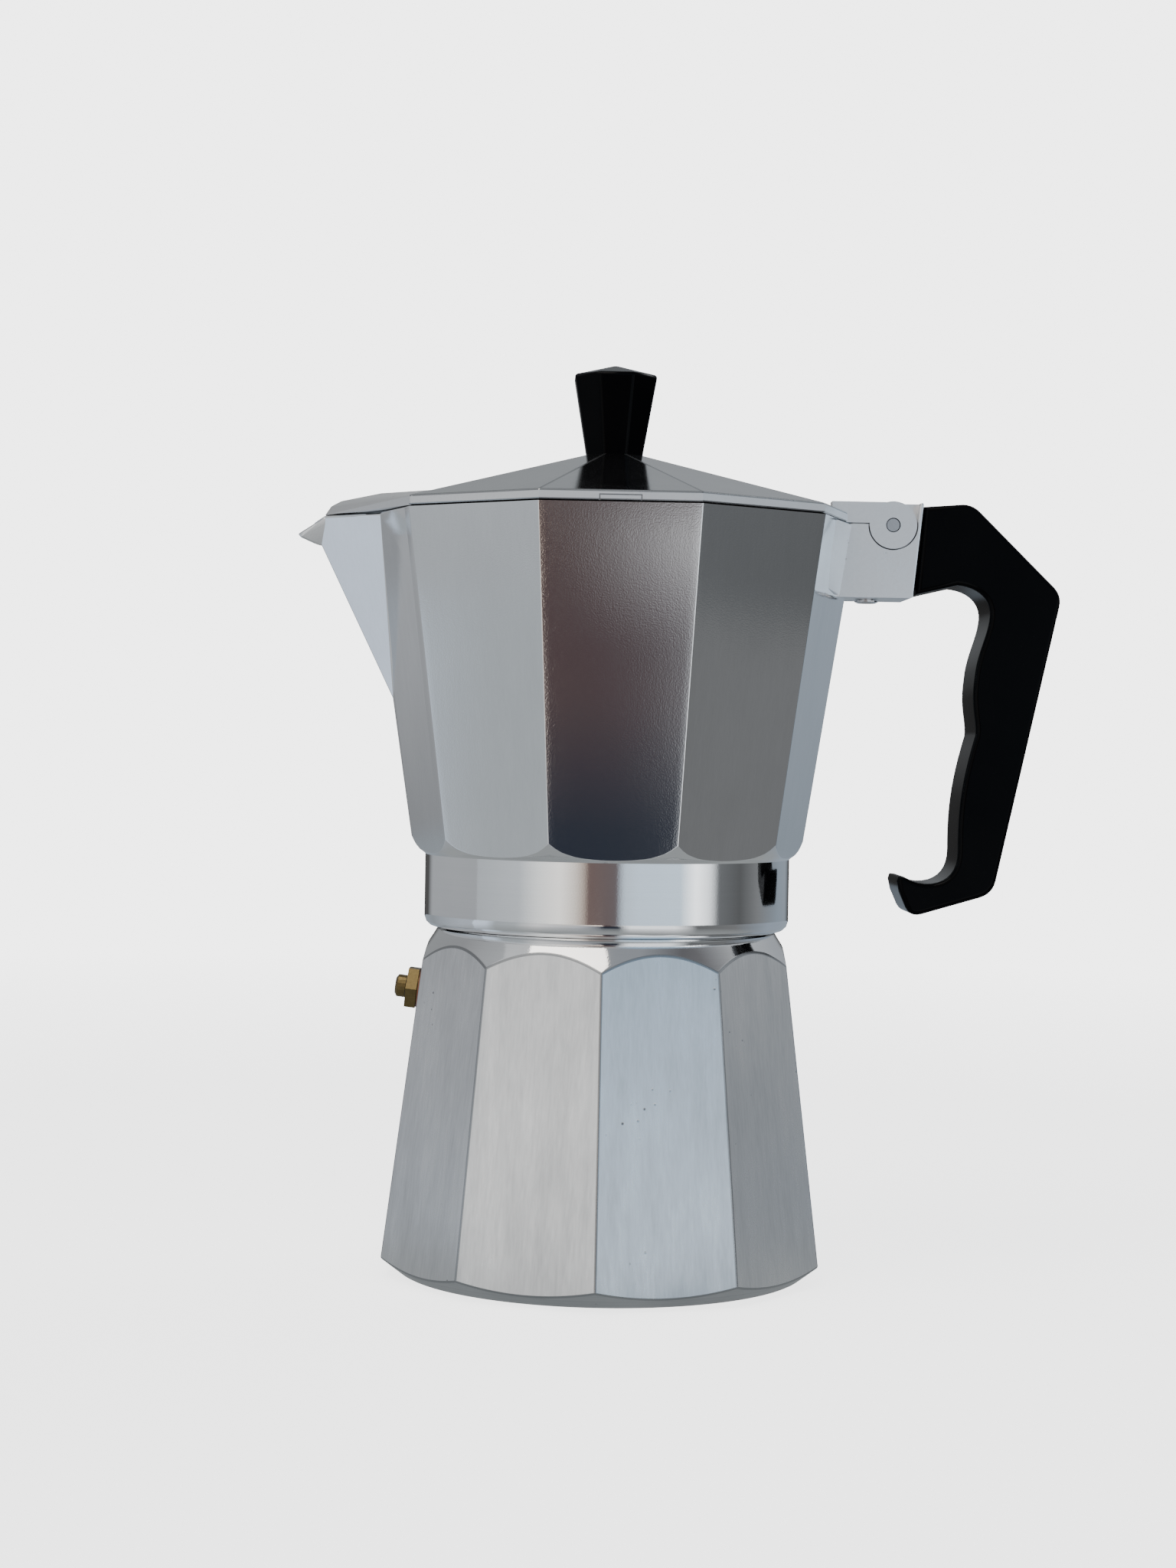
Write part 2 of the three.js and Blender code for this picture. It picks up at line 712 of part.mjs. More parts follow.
function lidGeometry() {
  const turn = 180 / sides;
  const bandTop = lidZ + lidBand;
  const ears = [-1, 1].map((s) => {
    const y0 = s > 0 ? earInner : -bracketHalf;
    const y1 = y0 + earThickness;
    return [
      crossBar(knuckleRadius, y0, y1, pinX, pinZ, 48),
      block(rimRadius - 6.5, pinX, y0, y1, lidZ, pinZ + earHeight),
    ];
  });
  const pyramid = [
    [0, lidZ],
    [lidRadius, lidZ],
    [lidRadius, bandTop],
    [lidTopRadius, lidTopZ],
    [0, lidTopZ],
  ];
  const outer = union(
    turned(pyramid, sides, turn),
    lidCover(0, 0),
    bar(lidSeat.radius, lidSeat.radius - 0.4, lidTopZ - 1, lidTopZ + lidSeat.height),
    ...ears.flat(),
  );
  const inset = lidWall / corner;
  const slope = lidRise / (lidRadius - lidTopRadius);
  const domeTop = lidTopZ - lidCrown;
  const domeRadius = lidRadius - inset - (domeTop - bandTop + 0.6) / slope;
  return geometryOf(
    cutAll(outer, [
      turned(
        [
          [0, lidZ - 1],
          [lidRadius - inset, lidZ - 1],
          [lidRadius - inset, bandTop - 0.6],
          [domeRadius, domeTop],
          [0, domeTop],
        ],
        sides,
        turn,
      ),
      lidCover(lidWall, 1),
      bar(knobScrew.radius + gap, knobScrew.radius + gap, lidTopZ - 8, lidTopZ + 3, 20),
      crossBar(pinRadius + pinPlay, -12, 12, pinX, pinZ, 24),
      block(-lidTab.width / 2, lidTab.width / 2, -rimRadius, -(lidRadius * corner - lidTab.depth),
        lidZ - 1, lidZ + lidTab.height),
    ]),
  );
}

// ---- knob --------------------------------------------------------------------------------------
const insertTop = knobZ + 11;

function knobGeometry() {
  const turn = 180 / knobSides;
  const shoulder = knobZ + knobHeight;
  const profile = [
    [0, knobZ],
    [knobRadius.foot, knobZ],
    [knobRadius.top, shoulder],
    [0.6, shoulder + knobCap],
    [0, shoulder + knobCap],
  ];
  const whole = solid(turned(profile, knobSides, turn));
  const bore = knobScrew.radius + gap + insertWall + gap;
  return geometryOf(cutAll(whole, [bar(bore, bore, knobZ - 1, insertTop + gap, 24)]));
}

const knobInsertGeometry = () =>
  ring(knobScrew.radius + gap, knobScrew.radius + gap + insertWall, knobZ + gap, insertTop, 24);

function knobScrewGeometry() {
  const headTop = lidTopZ - lidCrown - gap;
  return turned([
    [0, headTop - knobScrew.headHeight],
    [knobScrew.head - 0.9, headTop - knobScrew.headHeight],
    [knobScrew.head, headTop - knobScrew.headHeight + 1],
    [knobScrew.head, headTop],
    [knobScrew.radius, headTop],
    [knobScrew.radius, headTop + knobScrew.length - 0.6],
    [knobScrew.radius - 0.5, headTop + knobScrew.length],
    [0, headTop + knobScrew.length],
  ], 24);
}

// ---- handle ------------------------------------------------------------------------------------
// Side outline, from the top of the bracket's end round the grip to the hook and back up the inside.
// x is measured from the rim's corner, z from the rim.
function handleShape() {
  const shape = new THREE.Shape();
  const to = (x, z) => [rimRadius + x, rimZ + z];
  shape.moveTo(...to(bracketLength + 0.65, 4.1));
  shape.lineTo(...to(22.4, 4.8));
  shape.quadraticCurveTo(...to(24.6, 4.8), ...to(26.2, 3.2));
  shape.lineTo(...to(42.8, -13.0));
  shape.quadraticCurveTo(...to(44.6, -14.9), ...to(44.0, -17.4));
  shape.lineTo(...to(31.2, -77.6));
  shape.quadraticCurveTo(...to(30.6, -80.6), ...to(27.6, -81.5));
  shape.lineTo(...to(14.9, -85.3));
  shape.quadraticCurveTo(...to(12.4, -86.0), ...to(11.3, -83.8));
  shape.lineTo(...to(9.8, -80.4));
  shape.quadraticCurveTo(...to(8.9, -77.2), ...to(11.7, -76.9));
  shape.quadraticCurveTo(...to(15.0, -78.9), ...to(18.4, -78.2));
  shape.quadraticCurveTo(...to(22.6, -76.8), ...to(22.6, -71.4));
  shape.bezierCurveTo(...to(22.4, -62.0), ...to(23.2, -55.6), ...to(26.0, -45.8));
  shape.bezierCurveTo(...to(26.3, -42.4), ...to(24.7, -39.6), ...to(25.6, -33.0));
  shape.bezierCurveTo(...to(26.0, -27.6), ...to(28.4, -24.0), ...to(28.7, -19.6));
  shape.bezierCurveTo(...to(28.9, -15.6), ...to(25.6, -13.3), ...to(21.4, -13.0));
  shape.lineTo(...to(bracketLength - bracketLean + 0.75, -15.2));
  shape.closePath();
  return shape;
}

const tenonTop = socketZ + gap + tenon.height;

function handleGeometry() {
  const grip = sidePlate(handleShape(), handleHalf, { bevel: handleBevel, curveSegments: 6 });
  const foot = bracketEnd(bracketFoot) + 2;
  const key = block(socketX + gap, foot + 2, -tenon.half, tenon.half, socketZ + gap, tenonTop);
  const bore = handleScrew.radius + gap + insertWall + gap;
  const pocket = bar(bore, bore, socketZ - 2, tenonTop - 1, 24).translate(screwX, 0, 0);
  return geometryOf(cutAll(union(grip, key), [pocket]));
}

const handleInsertGeometry = () =>
  ring(handleScrew.radius + gap, handleScrew.radius + gap + insertWall, socketZ + gap,
    tenonTop - 1 - gap, 24).translate(screwX, 0, 0);

function handleScrewGeometry() {
  const headTop = bracketFoot - gap;
  const { radius, head, headHeight } = handleScrew;
  return turned([
    [0, headTop - headHeight],
    [head - 0.7, headTop - headHeight],
    [head, headTop - 0.3],
    [head, headTop],
    [radius, headTop],
    [radius, tenonTop - 1.6],
    [0, tenonTop - 1.6],
  ], 20).translate(screwX, 0, 0);
}

const hingePinGeometry = () =>
  crossBar(pinRadius, -(bracketHalf - 0.15), bracketHalf - 0.15, pinX, pinZ, 24);

// ---- finishes and the assembly -----------------------------------------------------------------
const finishes = {
  castAluminium: { color: 0xc9cbce, roughness: 0.35, metalness: 1 },
  sheetAluminium: { color: 0xbfc2c5, roughness: 0.45, metalness: 1 },
  brass: { color: 0xa88a4a, roughness: 0.35, metalness: 1 },
  steel: { color: 0x9b9ea2, roughness: 0.3, metalness: 1 },
  rubber: { color: 0xd9d4c6, roughness: 0.8, metalness: 0 },
  plastic: { color: 0x0c0c0e, roughness: 0.2, metalness: 0 },
};

function piece(name, geometry, finish) {
  const mesh = new THREE.Mesh(geometry, new THREE.MeshStandardMaterial(finishes[finish]));
  mesh.name = name;
  return mesh;
}

const boilerGroup = new THREE.Group();
boilerGroup.rotation.z = THREE.MathUtils.degToRad(boilerTurn);
boilerGroup.add(piece("boiler", boilerGeometry(), "castAluminium"));

const valve = new THREE.Group();
valve.applyMatrix4(valvePose);
valve.add(
  piece("valve_body", valveBodyGeometry(), "brass"),
  piece("valve_washer", valveWasherGeometry(), "rubber"),
  piece("valve_seat", valveSeatGeometry(), "brass"),
  piece("valve_nut", valveNutGeometry(), "brass"),
  piece("valve_stem", valveStemGeometry(), "brass"),
  piece("valve_spring", valveSpringGeometry(), "steel"),
);
boilerGroup.add(valve);

const brewGroup = new THREE.Group();
brewGroup.add(
  piece("funnel", funnelGeometry(), "sheetAluminium"),
  piece("funnel_sieve", sieveGeometry(), "sheetAluminium"),
  piece("gasket", gasketGeometry(), "rubber"),
  piece("filter_plate", plateGeometry(), "sheetAluminium"),
);

const lidGroup = new THREE.Group();
lidGroup.add(
  piece("lid", lidGeometry(), "castAluminium"),
  piece("lid_knob", knobGeometry(), "plastic"),
  piece("knob_insert", knobInsertGeometry(), "brass"),
  piece("knob_screw", knobScrewGeometry(), "steel"),
);

const chamberGroup = new THREE.Group();
chamberGroup.add(
  piece("collecting_chamber", chamberGeometry(), "castAluminium"),
  piece("hinge_pin", hingePinGeometry(), "steel"),
  piece("handle", handleGeometry(), "plastic"),
  piece("handle_insert", handleInsertGeometry(), "brass"),
  piece("handle_screw", handleScrewGeometry(), "steel"),
  lidGroup,
);

const mokaPot = new THREE.Group();
mokaPot.add(boilerGroup, brewGroup, chamberGroup);

export default mokaPot;
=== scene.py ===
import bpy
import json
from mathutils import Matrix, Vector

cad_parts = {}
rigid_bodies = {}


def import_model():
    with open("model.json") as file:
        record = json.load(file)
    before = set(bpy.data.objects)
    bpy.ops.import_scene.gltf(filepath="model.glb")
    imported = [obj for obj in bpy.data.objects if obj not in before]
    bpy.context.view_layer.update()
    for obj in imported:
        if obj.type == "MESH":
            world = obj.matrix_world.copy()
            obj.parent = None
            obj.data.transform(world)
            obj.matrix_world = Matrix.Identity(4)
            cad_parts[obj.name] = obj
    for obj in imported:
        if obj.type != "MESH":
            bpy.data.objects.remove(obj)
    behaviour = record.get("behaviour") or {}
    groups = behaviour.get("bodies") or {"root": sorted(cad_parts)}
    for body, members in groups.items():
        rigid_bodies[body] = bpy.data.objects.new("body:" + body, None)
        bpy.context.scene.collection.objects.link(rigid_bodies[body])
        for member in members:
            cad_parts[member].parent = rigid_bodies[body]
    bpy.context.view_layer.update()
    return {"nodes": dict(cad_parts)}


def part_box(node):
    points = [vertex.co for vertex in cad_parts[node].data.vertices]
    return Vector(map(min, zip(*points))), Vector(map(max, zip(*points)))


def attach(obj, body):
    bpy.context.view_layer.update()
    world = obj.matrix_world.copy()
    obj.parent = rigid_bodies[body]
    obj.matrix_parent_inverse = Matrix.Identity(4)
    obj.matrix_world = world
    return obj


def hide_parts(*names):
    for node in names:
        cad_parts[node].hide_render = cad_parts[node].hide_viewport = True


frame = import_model()

# %% Tools of the bench
import json
import math

import bmesh
import bpy
from mathutils import Matrix, Vector
from mathutils.geometry import interpolate_bezier

MM = 0.001
SIDES = 10
FACET = 2 * math.pi / SIDES
FLAT = math.cos(FACET / 2)  # distance to a flat over the distance to a corner


def high(node):
    """Top corner of a part's box, in millimetres."""
    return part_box(node)[1] / MM


def low(node):
    """Bottom corner of a part's box, in millimetres."""
    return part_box(node)[0] / MM


print("the pot stands", round(high("lid_knob").z, 1), "mm high")

# %% [markdown]
# ## Camera
# The pot is seen from the front with the handle on the right, from about 60 cm and a little above the
# middle of the pot, with a normal lens. A camera in Blender looks along its own -Z, so it is first
# tipped up to the horizon, then turned a little about the pot, and rolled by one degree.
# %% Set the camera
camera_place = Vector((-17.53, -604.96, 115.3)) * MM
camera_turn, camera_dip, camera_roll = (math.radians(a) for a in (1.23, 0.742, 1.01))
lens = bpy.data.cameras.new("lens")
lens.sensor_fit = "VERTICAL"
lens.sensor_height = 36
lens.lens = 62.63
lens.clip_start = 0.01
camera = bpy.data.objects.new("camera", lens)
camera.matrix_world = (
    Matrix.Translation(camera_place)
    @ Matrix.Rotation(-camera_turn, 4, "Z")
    @ Matrix.Rotation(math.pi / 2 - camera_dip, 4, "X")
    @ Matrix.Rotation(camera_roll, 4, "Z")
)
bpy.context.scene.collection.objects.link(camera)
bpy.context.scene.camera = camera
print("camera stands", round(camera_place.length, 3), "m from the foot of the pot")

# %% [markdown]
# ## Helpers for nodes
# Every finish is a small network of shader nodes. Building one in code is mostly adding a node, setting
# a few of its values and joining its sockets, so two short helpers take up the repeats.
# %% Helpers for shader nodes


def add_node(tree, kind, values=None, **settings):
    """Add a node, set its own settings and its input values, and join an input where a socket is given."""
    node = tree.nodes.new(kind)
    for key, value in settings.items():
        setattr(node, key, value)
    for key, value in (values or {}).items():
        if isinstance(value, bpy.types.NodeSocket):
            tree.links.new(value, node.inputs[key])
        else:
            node.inputs[key].default_value = value
    return node


def new_group(name, inputs, outputs):
    """An empty shader group with named sockets: inputs as (name, type, value), outputs as (name, type)."""
    group = bpy.data.node_groups.new(name, "ShaderNodeTree")
    for label, kind, value in inputs:
        socket = group.interface.new_socket(label, in_out="INPUT", socket_type=kind)
        if value is not None:
            socket.default_value = value
    for label, kind in outputs:
        group.interface.new_socket(label, in_out="OUTPUT", socket_type=kind)
    return group, group.nodes.new("NodeGroupInput").outputs, group.nodes.new("NodeGroupOutput").inputs


def add_group(tree, group, values):
    node = tree.nodes.new("ShaderNodeGroup")
    node.node_tree = group
    for key, value in values.items():
        if isinstance(value, bpy.types.NodeSocket):
            tree.links.new(value, node.inputs[key])
        else:
            node.inputs[key].default_value = value
    return node.outputs


def ramp(tree, factor, stops):
    """Colour ramp through (position, value or colour) stops."""
    node = add_node(tree, "ShaderNodeValToRGB", {"Fac": factor})
    band = node.color_ramp.elements
    while len(band) < len(stops):
        band.new(0.5)
    for element, (position, tone) in zip(band, stops):
        element.position = position
        shade = tone if isinstance(tone, tuple) else (tone, tone, tone)
        element.color = (*shade, 1)
    return node.outputs["Color"]


def span(tree, value, low_in, high_in, low_out, high_out):
    """Map a value from one range to another, without running past its ends."""
    limits = {"Value": value, "From Min": low_in, "From Max": high_in, "To Min": low_out, "To Max": high_out}
    return add_node(tree, "ShaderNodeMapRange", limits).outputs["Result"]


def blend(tree, factor, first, second):
    """Mix two colours by a factor."""
    node = add_node(tree, "ShaderNodeMix", data_type="RGBA")
    for socket, value in zip((node.inputs[0], node.inputs[6], node.inputs[7]), (factor, first, second)):
        if isinstance(value, bpy.types.NodeSocket):
            tree.links.new(value, socket)
        else:
            socket.default_value = (*value, 1) if isinstance(value, tuple) else value
    return node.outputs[2]


def calc(tree, how, *values):
    """Arithmetic on one, two or three numbers."""
    return add_node(tree, "ShaderNodeMath", dict(enumerate(values)), operation=how).outputs[0]


print("node helpers ready")

# %% [markdown]
# ## The floor and the light
# Bare aluminium has hardly any colour of its own. What shows in it is the room, so the room matters
# more than any lamp. It is drawn in the World as three ramps round the compass, stacked by height: the
# skirting near the horizon, with a dark gap where the viewer stands and bright panes beside it, the
# walls above it, and the ceiling. The camera itself sees a plain pale backdrop instead. The floor is
# drawn the same way: plain and pale to the camera, and with its own ramps to whatever mirrors it.
# %% Room for the metal to mirror
world = bpy.data.worlds.new("studio")
bpy.context.scene.world = world
world.use_nodes = True
sky = world.node_tree
sky.nodes.clear()
look = add_node(sky, "ShaderNodeTexCoord").outputs["Generated"]
axes = add_node(sky, "ShaderNodeSeparateXYZ", {"Vector": look}).outputs
compass = calc(sky, "ARCTAN2", axes["Y"], axes["X"])
compass = span(sky, compass, -math.pi, math.pi, 0, 1)
walls = ramp(sky, compass, [
    (0.00, (0.42, 0.43, 0.46)),
    (0.06, (0.55, 0.56, 0.58)),
    (0.12, (0.95, 0.95, 0.95)),
    (0.20, (1.05, 1.02, 0.98)),
    (0.235, (0.45, 0.42, 0.40)),
    (0.262, (0.45, 0.45, 0.46)),
    (0.30, (0.40, 0.58, 0.78)),
    (0.36, (0.38, 0.53, 0.70)),
    (0.44, (0.44, 0.49, 0.55)),
    (0.54, (0.64, 0.67, 0.70)),
    (0.66, (0.42, 0.45, 0.49)),
    (0.78, (0.31, 0.325, 0.335)),
    (0.94, (0.33, 0.335, 0.35)),
])
skirting = ramp(sky, compass, [
    (0.00, (0.62, 0.66, 0.70)),
    (0.09, (0.78, 0.83, 0.88)),
    (0.125, (1.30, 1.33, 1.33)),
    (0.165, (1.75, 1.70, 1.62)),
    (0.190, (1.20, 1.10, 1.00)),
    (0.205, (0.70, 0.58, 0.50)),
    (0.215, (0.21, 0.15, 0.14)),
    (0.262, (0.19, 0.16, 0.165)),
    (0.276, (0.85, 1.00, 1.15)),
    (0.30, (0.95, 1.15, 1.35)),
    (0.375, (1.00, 1.22, 1.42)),
    (0.405, (2.60, 2.70, 2.80)),
    (0.430, (1.60, 1.68, 1.75)),
    (0.450, (0.19, 0.20, 0.21)),
    (0.50, (0.13, 0.135, 0.14)),
    (0.55, (0.26, 0.27, 0.28)),
    (0.63, (0.34, 0.41, 0.49)),
    (0.67, (0.36, 0.42, 0.49)),
    (0.70, (0.10, 0.10, 0.10)),
    (0.82, (0.10, 0.10, 0.10)),
    (0.85, (0.48, 0.50, 0.53)),
    (0.94, (0.50, 0.52, 0.55)),
])
ceiling = ramp(sky, compass, [
    (0.00, (0.74, 0.76, 0.78)),
    (0.14, (0.70, 0.71, 0.72)),
    (0.25, (0.32, 0.34, 0.37)),
    (0.34, (0.32, 0.34, 0.37)),
    (0.44, (0.14, 0.14, 0.15)),
    (0.56, (0.22, 0.22, 0.23)),
    (0.80, (0.50, 0.52, 0.54)),
])
above = span(sky, axes["Z"], 0.02, 0.13, 0, 1)
overhead = span(sky, axes["Z"], 0.50, 0.75, 0, 1)
height_shade = ramp(sky, span(sky, axes["Z"], -1, 1, 0, 1), [
    (0.30, 0.30), (0.47, 0.85), (0.53, 1.0), (0.70, 0.95), (1.0, 0.95),
])
room = add_node(sky, "ShaderNodeMix", data_type="RGBA", blend_type="MULTIPLY")
room.inputs[0].default_value = 1
sky.links.new(blend(sky, overhead, blend(sky, above, skirting, walls), ceiling), room.inputs[6])
sky.links.new(height_shade, room.inputs[7])
seen = add_node(sky, "ShaderNodeLightPath").outputs["Is Camera Ray"]
room_light = add_node(sky, "ShaderNodeBackground", {"Color": room.outputs[2], "Strength": 1.0})
backdrop = add_node(sky, "ShaderNodeBackground", {"Color": (0.93, 0.93, 0.93, 1), "Strength": 4.5})
mixed = add_node(sky, "ShaderNodeMixShader", {0: seen, 1: room_light.outputs[0], 2: backdrop.outputs[0]})
sky.links.new(mixed.outputs[0], add_node(sky, "ShaderNodeOutputWorld").inputs["Surface"])
print("room has", len(walls.node.color_ramp.elements), "tones round the compass")

# %% Floor that fades into the backdrop
floor_radius = 1.4
bm = bmesh.new()
bmesh.ops.create_circle(bm, cap_ends=True, segments=96, radius=floor_radius)
floor_mesh = bpy.data.meshes.new("floor")
bm.to_mesh(floor_mesh)
bm.free()
floor = bpy.data.objects.new("floor", floor_mesh)
floor.location.z = -0.0003
bpy.context.scene.collection.objects.link(floor)
floor_finish = bpy.data.materials.new("pale_floor")
floor_finish.use_nodes = True
tree = floor_finish.node_tree
tree.nodes.clear()
place = add_node(tree, "ShaderNodeTexCoord").outputs["Object"]
reach = add_node(tree, "ShaderNodeVectorMath", {0: place}, operation="LENGTH").outputs["Value"]
spot = add_node(tree, "ShaderNodeSeparateXYZ", {"Vector": place}).outputs
bearing = span(tree, calc(tree, "ARCTAN2", spot["Y"], spot["X"]), -math.pi, math.pi, 0, 1)
LEFT_FLOOR = [
    (0.00, (0.82, 0.94, 1.12)),
    (0.03, (0.80, 0.92, 1.08)),
    (0.05, (0.45, 0.49, 0.52)),
    (0.09, (0.50, 0.54, 0.57)),
    (0.13, (0.95, 0.95, 0.96)),
]
RIGHT_FLOOR = [
    (0.285, (1.50, 1.55, 1.60)),
    (0.360, (1.50, 1.55, 1.60)),
    (0.40, (0.15, 0.155, 0.16)),
    (0.48, (0.19, 0.195, 0.20)),
    (0.58, (0.33, 0.39, 0.47)),
    (0.75, (0.36, 0.42, 0.49)),
    (0.86, (0.30, 0.33, 0.36)),
    (0.97, (0.50, 0.55, 0.62)),
]
far_floor = ramp(tree, bearing, LEFT_FLOOR + [
    (0.20, (0.85, 0.80, 0.75)),
    (0.2385, (1.70, 1.40, 1.15)),
    (0.2420, (0.095, 0.060, 0.060)),
    (0.2500, (0.105, 0.075, 0.075)),
    (0.2560, (0.27, 0.26, 0.265)),
    (0.2640, (0.60, 0.60, 0.62)),
] + RIGHT_FLOOR)
middle_floor = ramp(tree, bearing, LEFT_FLOOR + [
    (0.20, (0.85, 0.80, 0.75)),
    (0.2385, (1.10, 0.95, 0.85)),
    (0.2420, (0.085, 0.058, 0.060)),
    (0.2560, (0.090, 0.064, 0.070)),
    (0.2640, (0.15, 0.145, 0.155)),
] + RIGHT_FLOOR)
near_floor = ramp(tree, bearing, LEFT_FLOOR + [
    (0.20, (0.60, 0.62, 0.66)),
    (0.232, (0.20, 0.21, 0.24)),
    (0.241, (0.028, 0.034, 0.050)),
    (0.266, (0.036, 0.042, 0.058)),
] + RIGHT_FLOOR)
strip = blend(tree, span(tree, reach, 0.34, 0.50, 0, 1), near_floor, middle_floor)
strip = blend(tree, span(tree, reach, 0.60, 0.80, 0, 1), strip, far_floor)
# Close round the pot the floor seen in mirrored rays is painted darker, as painted shadow under the pot.
strip = blend(tree, span(tree, reach, 0.14, 0.24, 0, 1), (0.34, 0.36, 0.37), strip)
path = add_node(tree, "ShaderNodeLightPath").outputs
pale = add_node(tree, "ShaderNodeBsdfDiffuse", {"Color": (0.88, 0.88, 0.88, 1)})
glow_share = calc(tree, "MULTIPLY", path["Is Camera Ray"], 2.6)
glow = add_node(tree, "ShaderNodeEmission", {"Color": (1, 1, 1, 1), "Strength": glow_share})
lit = add_node(tree, "ShaderNodeAddShader", {0: pale.outputs[0], 1: glow.outputs[0]})
dim = add_node(tree, "ShaderNodeEmission", {"Color": strip, "Strength": 1.0})
mirrored = path["Is Glossy Ray"]
surface = add_node(tree, "ShaderNodeMixShader", {0: mirrored, 1: lit.outputs[0], 2: dim.outputs[0]})
fade_seen = calc(tree, "MULTIPLY", span(tree, reach, 0.35, 0.90, 0, 1), calc(tree, "SUBTRACT", 1, mirrored))
fade_mirrored = calc(tree, "MULTIPLY", span(tree, reach, 0.84, 0.94, 0, 1), mirrored)
fade = calc(tree, "ADD", fade_seen, fade_mirrored)
clear = add_node(tree, "ShaderNodeBsdfTransparent")
faded = add_node(tree, "ShaderNodeMixShader", {0: fade, 1: surface.outputs[0], 2: clear.outputs[0]})
tree.links.new(faded.outputs[0], add_node(tree, "ShaderNodeOutputMaterial").inputs["Surface"])
floor_mesh.materials.append(floor_finish)
print("floor reaches", floor_radius, "m round the pot")

# %% Soft lamps


def soft_lamp(name, place_at, aim, size, power, tint):
    lamp = bpy.data.lights.new(name, "AREA")
    lamp.shape = "DISK"
    lamp.size = size
    lamp.energy = power
    lamp.color = tint
    holder = bpy.data.objects.new(name, lamp)
    holder.location = place_at
    holder.rotation_euler = (Vector(aim) - Vector(place_at)).to_track_quat("-Z", "Y").to_euler()
    bpy.context.scene.collection.objects.link(holder)
    return holder


pot_middle = (0, 0, high("collecting_chamber").z * MM / 2)
soft_lamp("top_lamp", (-0.5, -0.6, 1.5), pot_middle, 1.1, 9, (1.0, 0.93, 0.85))
soft_lamp("back_lamp", (0.9, 0.8, 1.2), pot_middle, 0.8, 5, (0.94, 0.97, 1.0))
print("two soft lamps hung")

# %% [markdown]
# ## Marks that metal carries
# The same few marks come back on every part: lines from a brush, rings from a lathe, soft clouds from
# hands and heat, and small dark pits from water. Each is drawn once as a node group with a few knobs,
# and each finish then places the group with its own values. A group only puts out masks, so the
# Principled shader stays in the finish.
# %% Brushed lines
# Noise that is squeezed sideways and pulled long up the wall looks like the track of an abrasive belt.
brushed_lines, knob, out = new_group(
    "brushed_lines",
    [("Place", "NodeSocketVector", None), ("Across", "NodeSocketFloat", 2400.0),
     ("Along", "NodeSocketFloat", 25.0)],
    [("Lines", "NodeSocketFloat"), ("Broad", "NodeSocketFloat")],
)
pull = add_node(brushed_lines, "ShaderNodeCombineXYZ",
                {"X": knob["Across"], "Y": knob["Across"], "Z": knob["Along"]})
stretched = add_node(
    brushed_lines, "ShaderNodeVectorMath", {0: knob["Place"], 1: pull.outputs[0]}, operation="MULTIPLY")
fine = add_node(brushed_lines, "ShaderNodeTexNoise",
                {"Vector": stretched.outputs[0], "Scale": 1.0, "Detail": 3.0, "Roughness": 0.6})
wide = add_node(brushed_lines, "ShaderNodeTexNoise",
                {"Vector": stretched.outputs[0], "Scale": 0.16, "Detail": 2.0, "Roughness": 0.5})
brushed_lines.links.new(span(brushed_lines, fine.outputs["Fac"], 0.3, 0.7, 0, 1), out["Lines"])
brushed_lines.links.new(span(brushed_lines, wide.outputs["Fac"], 0.3, 0.7, 0, 1), out["Broad"])
print("group made:", brushed_lines.name)

# %% Lathe rings
# On a turned face the tool leaves rings, so the noise only changes with radius and height.
lathe_rings, knob, out = new_group(
    "lathe_rings",
    [("Place", "NodeSocketVector", None), ("Fineness", "NodeSocketFloat", 2600.0)],
    [("Rings", "NodeSocketFloat"), ("Bands", "NodeSocketFloat")],
)
parts = add_node(lathe_rings, "ShaderNodeSeparateXYZ", {"Vector": knob["Place"]}).outputs
flat = add_node(lathe_rings, "ShaderNodeCombineXYZ", {"X": parts["X"], "Y": parts["Y"], "Z": 0.0})
radius = add_node(
    lathe_rings, "ShaderNodeVectorMath", {0: flat.outputs[0]}, operation="LENGTH").outputs["Value"]
ringed = add_node(lathe_rings, "ShaderNodeCombineXYZ", {
    "X": calc(lathe_rings, "MULTIPLY", radius, knob["Fineness"]),
    "Y": calc(lathe_rings, "MULTIPLY", parts["Z"], knob["Fineness"]),
    "Z": 0.0,
})
fine = add_node(lathe_rings, "ShaderNodeTexNoise",
                {"Vector": ringed.outputs[0], "Scale": 1.0, "Detail": 2.0})
wide = add_node(lathe_rings, "ShaderNodeTexNoise",
                {"Vector": ringed.outputs[0], "Scale": 0.22, "Detail": 1.0})
lathe_rings.links.new(span(lathe_rings, fine.outputs["Fac"], 0.3, 0.7, 0, 1), out["Rings"])
lathe_rings.links.new(span(lathe_rings, wide.outputs["Fac"], 0.3, 0.7, 0, 1), out["Bands"])
print("group made:", lathe_rings.name)

# %% Clouds, grain and pits
# Clouds are slow changes of tone. Grain is the skin of cast or etched metal. Pits are rare dark dots:
# cells of a Voronoi pattern, kept only where a second noise says that water has stood.
handling, knob, out = new_group(
    "handling",
    [("Place", "NodeSocketVector", None), ("Grain", "NodeSocketFloat", 4200.0),
     ("Pitting", "NodeSocketFloat", 0.0)],
    [("Clouds", "NodeSocketFloat"), ("Grain", "NodeSocketFloat"), ("Pits", "NodeSocketFloat")],
)
clouds = add_node(handling, "ShaderNodeTexNoise",
                  {"Vector": knob["Place"], "Scale": 42.0, "Detail": 4.0, "Roughness": 0.55})
grain = add_node(handling, "ShaderNodeTexNoise",
                 {"Vector": knob["Place"], "Scale": knob["Grain"], "Detail": 1.5})
cells = add_node(handling, "ShaderNodeTexVoronoi", {"Vector": knob["Place"], "Scale": 620.0})
dots = span(handling, cells.outputs["Distance"], 0.10, 0.20, 1, 0)
